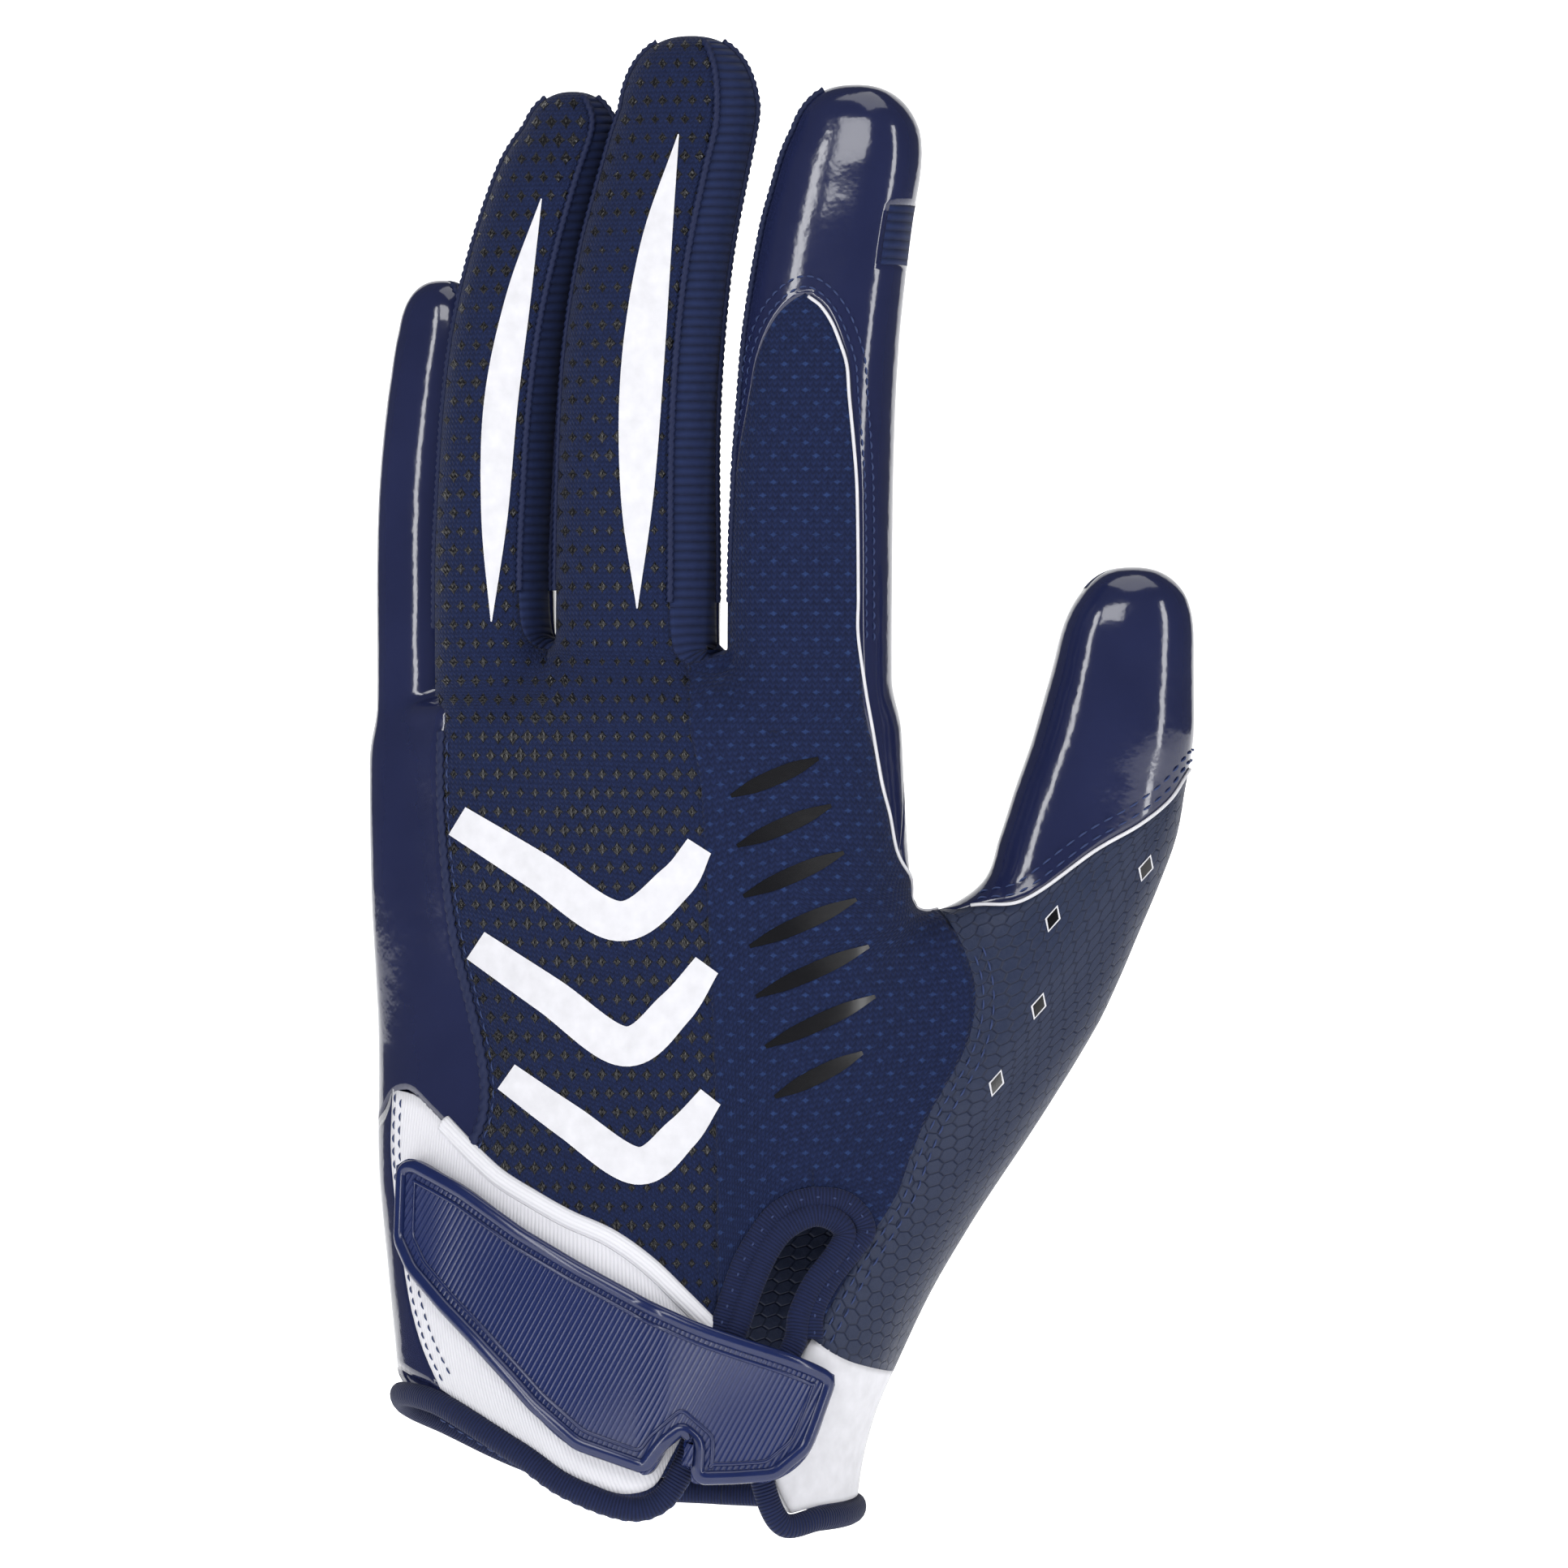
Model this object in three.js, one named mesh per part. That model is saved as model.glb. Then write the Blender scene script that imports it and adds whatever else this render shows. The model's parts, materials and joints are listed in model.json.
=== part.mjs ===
// A football receiver's glove for the left hand, upright and held open at the wrist.
// Millimetres. The origin is the middle of the wrist opening, +Z runs to the fingertips,
// the back of the hand faces -Y and the thumb is on the +X side.
// The outside of the glove is the surface where glove(p) = 0: a smooth join of a hand,
// four fingers and a thumb, each a stack of rounded sections that the tables below give.
// Every panel is a grid of points laid on that surface and given its wall thickness.
import * as THREE from "three";

// Driving dimensions
const KNIT_WALL = 1.2;
const GLOSS_WALL = 1.2;
const LEATHER_WALL = 1.4;
const CUFF_WALL = 1.6;
const STRAP_THICK = 1.6;
const SEAM_GAP = 0.6;
const CROTCH_GAP = 1.7;
const FINGER_STEP = 9.5;
const SECTION_POWER = 2.4;
const FINGER_BLEND = 3;
const THUMB_BLEND = 12;
const CROTCH_RADIUS = 8;
const KNUCKLE_Z = 110.5;
const WRIST_Z = -24;

// A row for each section: height, middle of the section, half width and half depth.
const table = (names, rows) =>
  Object.fromEntries(names.map((name, column) => [name, rows.map((row) => row[column])]));
const SECTION = ["z", "x", "y", "w", "d"];

const FINGERS = {
  pinkie: {
    roll: 34,
    tip: 183.6,
    round: 12,
    rows: table(SECTION, [
      [60, -31.8, 17, 8.4, 8.6],
      [100, -32, 19.5, 8.2, 8.2],
      [117, -32.2, 21.3, 7.9, 7.7],
      [136.5, -32.5, 22.2, 7.8, 7.3],
      [149.5, -32.3, 22.4, 7.7, 7.1],
      [162.5, -31.4, 22.6, 7.5, 6.8],
      [175.5, -29.9, 22.9, 7.2, 6.4],
    ]),
  },
  ring: {
    roll: 26,
    tip: 213.6,
    round: 15,
    rows: table(SECTION, [
      [60, -19, 8, 9.7, 9.6],
      [100, -20.6, 7.3, 9.6, 9.2],
      [136.5, -21, 7.2, 9.5, 8.7],
      [149.5, -20.5, 7.3, 9.5, 8.5],
      [162.5, -19.7, 7.6, 9.5, 8.3],
      [175.5, -18.1, 8, 9.5, 8.1],
      [188.5, -15.2, 8.7, 9.4, 7.9],
      [201.5, -11.2, 9.6, 9.0, 7.8],
      [208, -8.6, 10, 8.8, 7.6],
    ]),
  },
  middle: {
    roll: 20,
    tip: 222.2,
    round: 16,
    rows: table(SECTION, [
      [60, 2, 0.5, 13, 11],
      [100, 2, -0.5, 13, 10.8],
      [136.5, 2.1, -0.8, 13.2, 10.4],
      [156, 2.3, -0.8, 12.9, 10],
      [171.6, 3.1, -0.6, 12.8, 9.6],
      [187.2, 5.1, 0, 12.4, 9.2],
      [202.8, 8.6, 1, 11.8, 8.7],
      [210.6, 10.5, 1.6, 11.4, 8.4],
    ]),
  },
  index: {
    roll: 16,
    tip: 214.2,
    round: 15,
    rows: table(SECTION, [
      [60, 31, -4.5, 13, 11.5],
      [100, 29.8, -6, 13.2, 11.3],
      [117, 29.6, -6.2, 13.1, 11],
      [136.5, 29.7, -6.2, 13.1, 10.5],
      [152.1, 30.1, -6, 12.9, 10.2],
      [163.8, 30.7, -5.6, 12.7, 9.9],
      [175.5, 31.6, -5, 12.6, 9.6],
      [191.1, 33.8, -4, 12.2, 9.1],
      [198.9, 35.5, -3.3, 11.8, 8.8],
      [206.7, 37, -2.8, 11.3, 8.5],
    ]),
  },
};
const THUMB = {
  roll: 0,
  tip: 136.9,
  round: 14,
  rows: table(SECTION, [
    [WRIST_Z, 8, 0.5, 24, 21],
    [0, 12, 0.8, 24, 21.5],
    [15.6, 20, 2.5, 24, 20],
    [31.2, 30.5, 4.5, 24, 18],
    [46.8, 43.7, 6.5, 22, 16],
    [62.4, 55.6, 8, 20, 14.2],
    [70, 60.3, 8.3, 19, 13.6],
    [78, 66.2, 8.5, 16.5, 12.8],
    [85.8, 72.3, 8.5, 13.7, 12.2],
    [93.6, 75, 8.3, 13.8, 11.8],
    [101.4, 76.8, 8, 13.4, 11.4],
    [109.2, 78.7, 7.6, 12.8, 11],
    [117, 79.7, 7.2, 11.9, 10.4],
    [124.8, 80.6, 6.8, 11, 9.7],
    [132.6, 81.6, 6.5, 10.6, 9.2],
  ]),
};
// The hand's own sections are bent: bend says how much of the knuckle arch a section has.
const HAND = {
  rows: table(["z", "x", "y", "w", "d", "bend"], [
    [WRIST_Z, -1, 0, 33.4, 23.4, 0.1],
    [-8, -0.6, 0, 34.6, 23.2, 0.15],
    [0, 0, 0, 36, 23, 0.2],
    [10, 1, 0.2, 38, 22, 0.35],
    [25, 1.2, 0.3, 39.8, 19.8, 0.6],
    [40, 1.5, 0.4, 41.6, 18, 0.8],
    [55, 2.4, 0.4, 42.6, 16.4, 0.95],
    [70, 2.8, 0.3, 43.2, 15.2, 1],
    [83, 2.8, 0.2, 43.2, 14.4, 1],
    [95, 2.1, 0.1, 42.4, 13.8, 1],
    [110, 1.4, 0, 41.8, 13.4, 1],
  ]),
};
// The knuckle arch: how far back each place across the hand lies, from its own x.
const ARCH = { level: 0.8, slope: -0.33, curve: 0.0045 };
// The top of the hand between the fingers, highest near the ring finger.
const KNUCKLE_TOP = { height: 124.5, peak: -5, fall: 0.012, left: -30, right: 12, round: 12 };

// Smooth curve through one column of a table, at height z.
function along(rows, name, z) {
  const heights = rows.z;
  const values = rows[name];
  const last = heights.length - 1;
  if (z <= heights[0]) return values[0];
  if (z >= heights[last]) return values[last];
  let i = 0;
  while (z > heights[i + 1]) i += 1;
  const slope = (k) => {
    const a = Math.max(k - 1, 0);
    const b = Math.min(k + 1, last);
    return (values[b] - values[a]) / (heights[b] - heights[a]);
  };
  const span = heights[i + 1] - heights[i];
  const t = (z - heights[i]) / span;
  const u = 1 - t;
  return (
    values[i] * u * u * (1 + 2 * t) +
    values[i + 1] * t * t * (3 - 2 * t) +
    span * t * u * (slope(i) * u - slope(i + 1) * t)
  );
}

const power = (value) => Math.abs(value) ** SECTION_POWER;
const radians = (degrees) => (degrees * Math.PI) / 180;

// Distance-like value of one finger or the thumb: negative inside.
function digit(chain, p) {
  const at = (name) => along(chain.rows, name, p.z);
  const dx = p.x - at("x");
  const dy = p.y - at("y");
  const w = at("w");
  const d = at("d");
  const cos = Math.cos(radians(chain.roll));
  const sin = Math.sin(radians(chain.roll));
  const tip = Math.max(0, (p.z - chain.tip + chain.round) / chain.round);
  const foot = chain === THUMB ? 0 : Math.max(0, (102 - p.z) / 42);
  const g = power((dx * cos - dy * sin) / w) + power((dx * sin + dy * cos) / d);
  return ((g + power(tip) + power(foot)) ** (1 / SECTION_POWER) - 1) * Math.min(w, d);
}

const arch = (x, z) =>
  along(HAND.rows, "bend", z) * (ARCH.level + ARCH.slope * x + ARCH.curve * x * x);

function hand(p) {
  const at = (name) => along(HAND.rows, name, p.z);
  const across = THREE.MathUtils.clamp(p.x, KNUCKLE_TOP.left, KNUCKLE_TOP.right);
  const top = KNUCKLE_TOP.height - KNUCKLE_TOP.fall * (across - KNUCKLE_TOP.peak) ** 2;
  const w = at("w");
  const d = at("d");
  const tip = Math.max(0, (p.z - top + KNUCKLE_TOP.round) / KNUCKLE_TOP.round);
  const g = power((p.x - at("x")) / w) + power((p.y - at("y") - arch(p.x, p.z)) / d);
  return ((g + power(tip)) ** (1 / SECTION_POWER) - 1) * Math.min(w, d);
}

function blend(a, b, radius) {
  const h = Math.max(radius - Math.abs(a - b), 0) / radius;
  return Math.min(a, b) - (h * h * radius) / 4;
}

function glove(p) {
  const fingers = Math.min(...Object.values(FINGERS).map((finger) => digit(finger, p)));
  return blend(blend(hand(p), digit(THUMB, p), THUMB_BLEND), fingers, FINGER_BLEND);
}

const vec = (x, y, z) => new THREE.Vector3(x, y, z);
const mix = (a, b, t) => a.clone().lerp(b, t);
const gradually = (from, to, t) => from + (to - from) * t;
const STEP = 0.05;

// The glove's outward direction at p, and how fast glove(p) grows along it.
function slopeAt(p) {
  const one = (axis) => {
    const more = p.clone();
    const less = p.clone();
    more[axis] += STEP;
    less[axis] -= STEP;
    return (glove(more) - glove(less)) / (2 * STEP);
  };
  return vec(one("x"), one("y"), one("z"));
}

// Moves a point that is near the surface onto it.
function settle(point) {
  const p = point.clone();
  for (let round = 0; round < 10; round += 1) {
    const slope = slopeAt(p);
    const move = slope.multiplyScalar(-glove(p) / Math.max(slope.lengthSq(), 1e-6));
    p.add(move.clampLength(0, 3));
  }
  return p;
}

// First place where a straight line from a point inside leaves the glove.
function leave(from, direction) {
  let low = 0;
  while (glove(from.clone().addScaledVector(direction, low + 1)) < 0 && low < 90) low += 1;
  let high = low + 1;
  for (let round = 0; round < 24; round += 1) {
    const middle = (low + high) / 2;
    if (glove(from.clone().addScaledVector(direction, middle)) < 0) low = middle;
    else high = middle;
  }
  return from.clone().addScaledVector(direction, low);
}

const BACK = vec(0, -1, 0);
const PALM = vec(0, 1, 0);
const onSide = (side) => ([x, z]) => {
  const inner = x > 46 && z < 88 ? along(THUMB.rows, "y", z) : arch(x, z);
  return leave(vec(x, inner, z), side);
};
const onBack = onSide(BACK);
const onPalm = onSide(PALM);

// A point of a digit at an angle about its axis: 0 faces back, 90 the thumb side, 180 the palm.
// Above the start of the rounded tip, rise runs from 0 to 1 at the pole.
function digitPoint(chain, angle, z, rise = 0) {
  const turn = radians(angle);
  const soft = (value) => Math.sign(value) * Math.abs(value) ** (2 / SECTION_POWER);
  const height = rise > 0 ? chain.tip - chain.round * (1 - soft(Math.sin((rise * Math.PI) / 2))) : z;
  const shrink = rise > 0 ? soft(Math.max(Math.cos((rise * Math.PI) / 2), 0)) : 1;
  const at = (name) => along(chain.rows, name, height);
  const a = at("w") * shrink * soft(Math.sin(turn));
  const b = -at("d") * shrink * soft(Math.cos(turn));
  const cos = Math.cos(radians(chain.roll));
  const sin = Math.sin(radians(chain.roll));
  return vec(at("x") + a * cos + b * sin, at("y") - a * sin + b * cos, height);
}

// Evenly spaced points on a smooth curve through the given ones, put back on the surface.
function curveOn(points, count) {
  const curve = new THREE.CatmullRomCurve3(points, false, "centripetal");
  const steps = Array.from({ length: count + 1 }, (_, i) => i);
  return steps.map((i) => {
    if (i === 0) return points[0].clone();
    if (i === count) return points.at(-1).clone();
    return settle(curve.getPointAt(i / count));
  });
}

// A four-sided grid between edge curves, worked out from its edges and laid on the surface.
function sheet(bottom, top, left, right) {
  const nu = bottom.length - 1;
  const nv = left.length - 1;
  return left.map((_, j) =>
    bottom.map((_, i) => {
      if (j === 0) return bottom[i];
      if (j === nv) return top[i];
      if (i === 0) return left[j];
      if (i === nu) return right[j];
      const u = i / nu;
      const v = j / nv;
      const p = mix(bottom[i], top[i], v).add(mix(left[j], right[j], u));
      p.sub(mix(mix(bottom[0], bottom[nu], u), mix(top[0], top[nu], u), v));
      return settle(p);
    }),
  );
}

// The normal of a face, as long as twice the face's area.
function faceNormal(points, [a, b, c]) {
  const side = points[b].clone().sub(points[a]);
  return side.cross(points[c].clone().sub(points[a]));
}

// Joins grids into one wall: outside on the surface, inside one thickness in.
function wall(grids, thickness, { lift = () => 0, gap = SEAM_GAP } = {}) {
  const points = [];
  const index = new Map();
  const place = (p) => {
    const key = [p.x, p.y, p.z].map((value) => Math.round(value * 500)).join();
    if (!index.has(key)) {
      index.set(key, points.length);
      points.push(p.clone());
    }
    return index.get(key);
  };
  const faces = grids.flatMap((grid) => {
    const ids = grid.map((row) => row.map(place));
    const own = [];
    for (let j = 0; j + 1 < ids.length; j += 1)
      for (let i = 0; i + 1 < ids[j].length; i += 1) {
        if (grid.hole && grid.hole(i, j)) continue;
        own.push([ids[j][i], ids[j][i + 1], ids[j + 1][i + 1]]);
        own.push([ids[j][i], ids[j + 1][i + 1], ids[j + 1][i]]);
      }
    const kept = own.filter(([a, b, c]) => a !== b && b !== c && a !== c);
    const facing = kept.reduce((sum, [a, b, c]) => {
      const middle = points[a].clone().add(points[b]).add(points[c]).divideScalar(3);
      return sum + faceNormal(points, [a, b, c]).dot(slopeAt(middle));
    }, 0);
    return facing < 0 ? kept.map(([a, b, c]) => [a, c, b]) : kept;
  });
  const edges = new Map();
  for (const [a, b, c] of faces)
    for (const [from, to] of [[a, b], [b, c], [c, a]]) edges.set(from + "," + to, [from, to]);
  const rim = [...edges.values()].filter(([from, to]) => !edges.has(to + "," + from));
  const flat = points.map(() => vec(0, 0, 0));
  for (const face of faces) {
    const normal = faceNormal(points, face);
    face.forEach((id) => flat[id].add(normal));
  }
  const onRim = new Set(rim.flat());
  const normals = points.map((p, i) => {
    const slope = slopeAt(p).normalize();
    const mean = flat[i].normalize();
    return slope.dot(mean) > (onRim.has(i) ? 0.1 : 0.6) ? slope : mean;
  });
  const pull = new Map();
  for (const [from, to] of rim) {
    const side = points[to].clone().sub(points[from]).normalize();
    for (const id of [from, to]) {
      const inward = normals[id].clone().cross(side).normalize();
      if (!pull.has(id)) pull.set(id, []);
      pull.get(id).push(inward);
    }
  }
  for (const [id, ways] of pull) {
    const sum = ways.reduce((total, way) => total.add(way), vec(0, 0, 0));
    const widest = Math.max(sum.length() / ways.length, 0.35);
    points[id].addScaledVector(sum.normalize(), gap / 2 / widest);
  }
  const outer = points.map((p, i) => p.clone().addScaledVector(normals[i], lift(p)));
  const inner = outer.map((p, i) => p.clone().addScaledVector(normals[i], -thickness));
  const count = points.length;
  const triangles = [];
  for (const [a, b, c] of faces) triangles.push([a, b, c], [a + count, c + count, b + count]);
  for (const [from, to] of rim)
    triangles.push([from, from + count, to + count], [from, to + count, to]);
  return solid([...outer, ...inner], triangles);
}

function solid(points, triangles) {
  const geometry = new THREE.BufferGeometry();
  const flat = points.flatMap((p) => [p.x, p.y, p.z]);
  geometry.setAttribute("position", new THREE.Float32BufferAttribute(flat, 3));
  geometry.setIndex(triangles.flat());
  geometry.computeVertexNormals();
  return geometry;
}

// A rounded cord along points on the surface: half width across it, half height off it.
function cord(points, halfWidth, halfHeight, sides, closed = false) {
  const count = points.length;
  const rings = points.map((p, i) => {
    const before = points[closed ? (i + count - 1) % count : Math.max(i - 1, 0)];
    const after = points[closed ? (i + 1) % count : Math.min(i + 1, count - 1)];
    const ahead = after.clone().sub(before).normalize();
    const across = slopeAt(p).normalize().cross(ahead).normalize();
    const out = ahead.clone().cross(across).normalize();
    return Array.from({ length: sides }, (_, k) => {
      const turn = (2 * Math.PI * k) / sides;
      return p
        .clone()
        .addScaledVector(across, halfWidth * Math.cos(turn))
        .addScaledVector(out, halfHeight * Math.sin(turn));
    });
  });
  const triangles = [];
  const stretches = closed ? count : count - 1;
  for (let i = 0; i < stretches; i += 1)
    for (let k = 0; k < sides; k += 1) {
      const a = i * sides + k;
      const b = i * sides + ((k + 1) % sides);
      const c = ((i + 1) % count) * sides + ((k + 1) % sides);
      const d = ((i + 1) % count) * sides + k;
      triangles.push([a, b, c], [a, c, d]);
    }
  const ends = rings.flat();
  if (!closed) {
    ends.push(points[0].clone(), points[count - 1].clone());
    for (let k = 0; k < sides; k += 1) {
      const next = (k + 1) % sides;
      triangles.push([count * sides, next, k]);
      const last = (count - 1) * sides;
      triangles.push([count * sides + 1, last + k, last + next]);
    }
  }
  const geometry = solid(ends, triangles);
  return volumeOf(geometry) < 0 ? solid(ends, triangles.map(([a, b, c]) => [a, c, b])) : geometry;
}

function volumeOf(geometry) {
  const position = geometry.getAttribute("position");
  const corner = (i) => vec(0, 0, 0).fromBufferAttribute(position, geometry.index.array[i]);
  let total = 0;
  for (let i = 0; i < geometry.index.count; i += 3)
    total += corner(i).dot(corner(i + 1).cross(corner(i + 2))) / 6;
  return total;
}

// Seams between the fingers: angles of the strips on each finger, and the crotches.
const STRIP = {
  pinkieIn: { back: 64, palm: 120 },
  ring: { left: -68, right: 48, palm: 92, palmEnd: 258 },
  middle: { left: -72, right: 37, palm: 92, palmEnd: 258 },
  indexIn: { back: -58, palm: -118 },
};
const CROTCH = {
  pinkieRing: { z: 117, back: -29.3, palm: -23 },
  ringMiddle: { z: 123.5, back: -12.4, palm: -8 },
  middleIndex: { z: 121.2, back: 10.4, palm: 16.5 },
};
const LEVELS = [KNUCKLE_Z, 114, 117, 119, 121.2, 123.5, 126, 130];

// Heights up a finger: the shared levels, even steps, then the rounded tip.
function climb(chain) {
  const start = chain.tip - chain.round;
  const steps = Math.round((start - LEVELS.at(-1)) / FINGER_STEP);
  const even = Array.from({ length: steps }, (_, k) => ({
    z: LEVELS.at(-1) + ((start - LEVELS.at(-1)) * (k + 1)) / steps,
    rise: 0,
  }));
  const tip = [0.3, 0.56, 0.8, 1].map((rise) => ({ z: start, rise }));
  return [...LEVELS.map((z) => ({ z, rise: 0 })), ...even, ...tip];
}

const smooth = (t) => {
  const s = THREE.MathUtils.clamp(t, 0, 1);
  return s * s * (3 - 2 * s);
};
const quarter = (t) => {
  const s = THREE.MathUtils.clamp(t, 0, 1);
  return Math.sqrt(1 - (1 - s) ** 2);
};

// The line between two fingers on one side of the hand, up to their crotch.
const between = (crotch, side) => (z) =>
  onSide(side === "back" ? BACK : PALM)([crotch[side], Math.min(z, crotch.z)]);

// One edge of a finger strip: shared with the neighbour up to the crotch, then on the finger.
function stripEdge(chain, angle, crotch, side) {
  const shared = between(crotch, side);
  return ({ z, rise }) => {
    if (z <= crotch.z) return shared(z);
    const onFinger = digitPoint(chain, angle, z, rise);
    if (z >= crotch.z + CROTCH_RADIUS) return onFinger;
    return mix(shared(crotch.z), onFinger, quarter((z - crotch.z) / CROTCH_RADIUS));
  };
}

// A finger strip from the knuckles to the tip, between two edges.
function strip(chain, angles, edges, side, columns, base) {
  const top = CROTCH.ringMiddle.z + CROTCH_RADIUS;
  return climb(chain).map(({ z, rise }, row) => {
    const first = edges[0]({ z, rise });
    const last = edges[1]({ z, rise });
    return Array.from({ length: columns + 1 }, (_, i) => {
      const t = i / columns;
      if (row === 0) return base[i];
      if (i === 0) return first;
      if (i === columns) return last;
      const onFinger = digitPoint(chain, angles[0] + (angles[1] - angles[0]) * t, z, rise);
      if (z >= top) return onFinger;
      const straight = mix(first, last, t);
      const onHand = z < CROTCH.pinkieRing.z ? side([straight.x, z]) : straight;
      return settle(mix(onHand, onFinger, smooth((z - KNUCKLE_Z) / (top - KNUCKLE_Z)) ** 0.5));
    });
  });
}

// Angles of the index mesh's edges, narrowing to the arch below the gloss fingertip.
const ARCH_TOP = 180.4;
const MESH_ARCH = table(["z", "left", "right"], [
  [110.5, -58, 56],
  [123.5, -58, 50],
  [150, -56, 45],
  [163.8, -41, 35],
  [169, -37, 31],
  [175.5, -24, 17],
  [178.5, -13, 7],
  [ARCH_TOP, -2, -2],
]);

// Seam lines on the hand, as places across and up (x, z) seen from the back or the palm.
const SEAMS = {
  pinkieBack: [[-24.7, 42.9], [-22.8, 46.8], [-22.1, 54.6], [-24.1, 65], [-27.3, 78], [-29.3, 97.5], [-29.3, KNUCKLE_Z]],
  ringMiddleBack: [[-9.1, 32.5], [-10.4, 71.5], [-12.4, KNUCKLE_Z]],
  middleIndexBack: [[15, 14.3], [14.3, 58.5], [12, 104], [10.4, KNUCKLE_Z]],
  ventTopBack: [[30.3, 36], [29, 70], [25, KNUCKLE_Z]],
  cuffRing: [[-24.7, 42.9], [-19.5, 38.4], [-9.1, 32.5]],
  cuffMiddle: [[-9.1, 32.5], [1.3, 27.3], [15, 14.3]],
  ventLeft: [[15, 14.3], [18.7, 25.1], [21.2, 29.6], [23.7, 33], [27, 35.2], [30.3, 36]],
  ventRight: [
    [30.3, 36], [34.5, 35.5], [37.3, 33.4], [38.4, 30.4],
    [36.5, 27.6], [32.8, 23], [30.3, 18.1], [30, 13.5],
  ],
  leatherBack: [[30, 13.5], [37.7, 27.3], [42.9, 35.1], [47.5, 46.8], [54.6, 59.8], [56.2, 68], [54.5, 75]],
  leatherPalm: [[18, 9], [20, 30], [26, 50], [36, 68], [45, 79]],
  pinkiePalm: [[-22, 30], [-22.4, 70], [-23, KNUCKLE_Z]],
  palmCuff: [[-22, 30], [-10, 26], [5, 19], [18, 9]],
  cuffLow: [[-29.5, 5.2], [-16.9, -2.6], [-9.1, -7.8], [0.7, -11.2], [4.5, -10], [7.1, -5.9], [9.8, -0.7]],
  cuffRight: [[9.8, -0.7], [12.4, 6], [15, 14.3]],
  sideFront: [[-29.5, 5.2], [-34, 16], [-36.5, 30], [-38, 45], [-37.7, 52.7]],
  tabLeft: [[26.7, -14.3], [24, -8.5], [23.2, -2], [25.5, 6], [30, 13.5]],
};

const named = new THREE.Group();
named.name = "receiver_glove";

const FINISH = {
  knit: { color: 0x1c2d5a, roughness: 0.85, metalness: 0 },
  gloss: { color: 0x1c2140, roughness: 0.18, metalness: 0 },
  leather: { color: 0x232b42, roughness: 0.55, metalness: 0 },
  white: { color: 0xe4e4eb, roughness: 0.75, metalness: 0 },
  binding: { color: 0x161e3e, roughness: 0.8, metalness: 0 },
  strap: { color: 0x1a244e, roughness: 0.25, metalness: 0 },
};

function add(name, finish, geometry) {
  const mesh = new THREE.Mesh(geometry, new THREE.MeshStandardMaterial(FINISH[finish]));
  mesh.name = name;
  named.add(mesh);
}

// Points on the outer sides, where a level line leaves the glove.
const outerEdge = (z) => leave(vec(-28, arch(-28, z), z), vec(-1, 0, 0));
const wristSide = (angle, z) => {
  const turn = radians(angle);
  return leave(vec(10, 0, z), vec(Math.sin(turn), -Math.cos(turn), 0));
};

// The same curve, in steps of equal height.
function byHeight(points, count) {
  const fine = new THREE.CatmullRomCurve3(points, false, "centripetal").getSpacedPoints(300);
  return Array.from({ length: count + 1 }, (_, j) => {
    if (j === 0) return points[0].clone();
    if (j === count) return points.at(-1).clone();
    const height = gradually(points[0].z, points.at(-1).z, j / count);
    return settle(fine.find((p) => p.z >= height));
  });
}
const seam = (name, side, count) => curveOn(SEAMS[name].map(side), count);
const levelRow = (from, to, side, columns) =>
  Array.from({ length: columns + 1 }, (_, i) => side([from + ((to - from) * i) / columns, KNUCKLE_Z]));

// The web between thumb and hand, and the edge of the hand above it.
const WEB = leave(vec(50, 2, 62), vec(0, 0, 1));
const SIDE_TOP_Z = 90.4;
function handSide(angle, z) {
  const turn = radians(angle - FINGERS.index.roll);
  return leave(vec(30, -5, z), vec(Math.sin(turn), -Math.cos(turn), 0));
}
const SIDE_TOP = handSide(84, SIDE_TOP_Z);
const WEB_RISE = curveOn([WEB, SIDE_TOP], 2);
const sideLine = (angle) =>
  [0, 1, 2, 3].map((k) => handSide(gradually(84, angle, k / 3), gradually(SIDE_TOP_Z, KNUCKLE_Z, k / 3)));

// Base row of the index gloss wrap, from the mesh edge round the thumb side to the palm.
const INDEX_COLUMNS = 9;
const INDEX_SIDE = 3;
const INDEX_PALM = 110;
function indexBase() {
  const end = onPalm([CROTCH.middleIndex.palm, KNUCKLE_Z]);
  return Array.from({ length: INDEX_COLUMNS + 1 }, (_, i) => {
    if (i <= INDEX_SIDE) return handSide(gradually(MESH_ARCH.right[0], INDEX_PALM, i / INDEX_SIDE), KNUCKLE_Z);
    if (i === INDEX_COLUMNS) return end;
    const t = (i - INDEX_SIDE) / (INDEX_COLUMNS - INDEX_SIDE);
    const first = handSide(INDEX_PALM, KNUCKLE_Z);
    return onPalm([gradually(first.x, end.x, t), KNUCKLE_Z]);
  });
}
const INDEX_BASE = indexBase();

const LEATHER_ROWS = 12;
const HAND_ROWS = 12;
const VENT_ROWS = 5;
const LINE = {
  pinkie: seam("pinkieBack", onBack, HAND_ROWS),
  ringMiddle: seam("ringMiddleBack", onBack, HAND_ROWS),
  middleIndex: seam("middleIndexBack", onBack, HAND_ROWS),
  vent: seam("ventTopBack", onBack, HAND_ROWS),
  ventRight: seam("ventRight", onBack, VENT_ROWS),
  leatherBack: byHeight([...SEAMS.leatherBack.map(onBack), WEB], LEATHER_ROWS),
  leatherPalm: byHeight([...SEAMS.leatherPalm.map(onPalm), WEB], LEATHER_ROWS),
  pinkiePalm: seam("pinkiePalm", onPalm, HAND_ROWS),
};
const meshRight = [...LINE.leatherBack, ...WEB_RISE.slice(1), ...sideLine(MESH_ARCH.right[0]).slice(1)];

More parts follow.
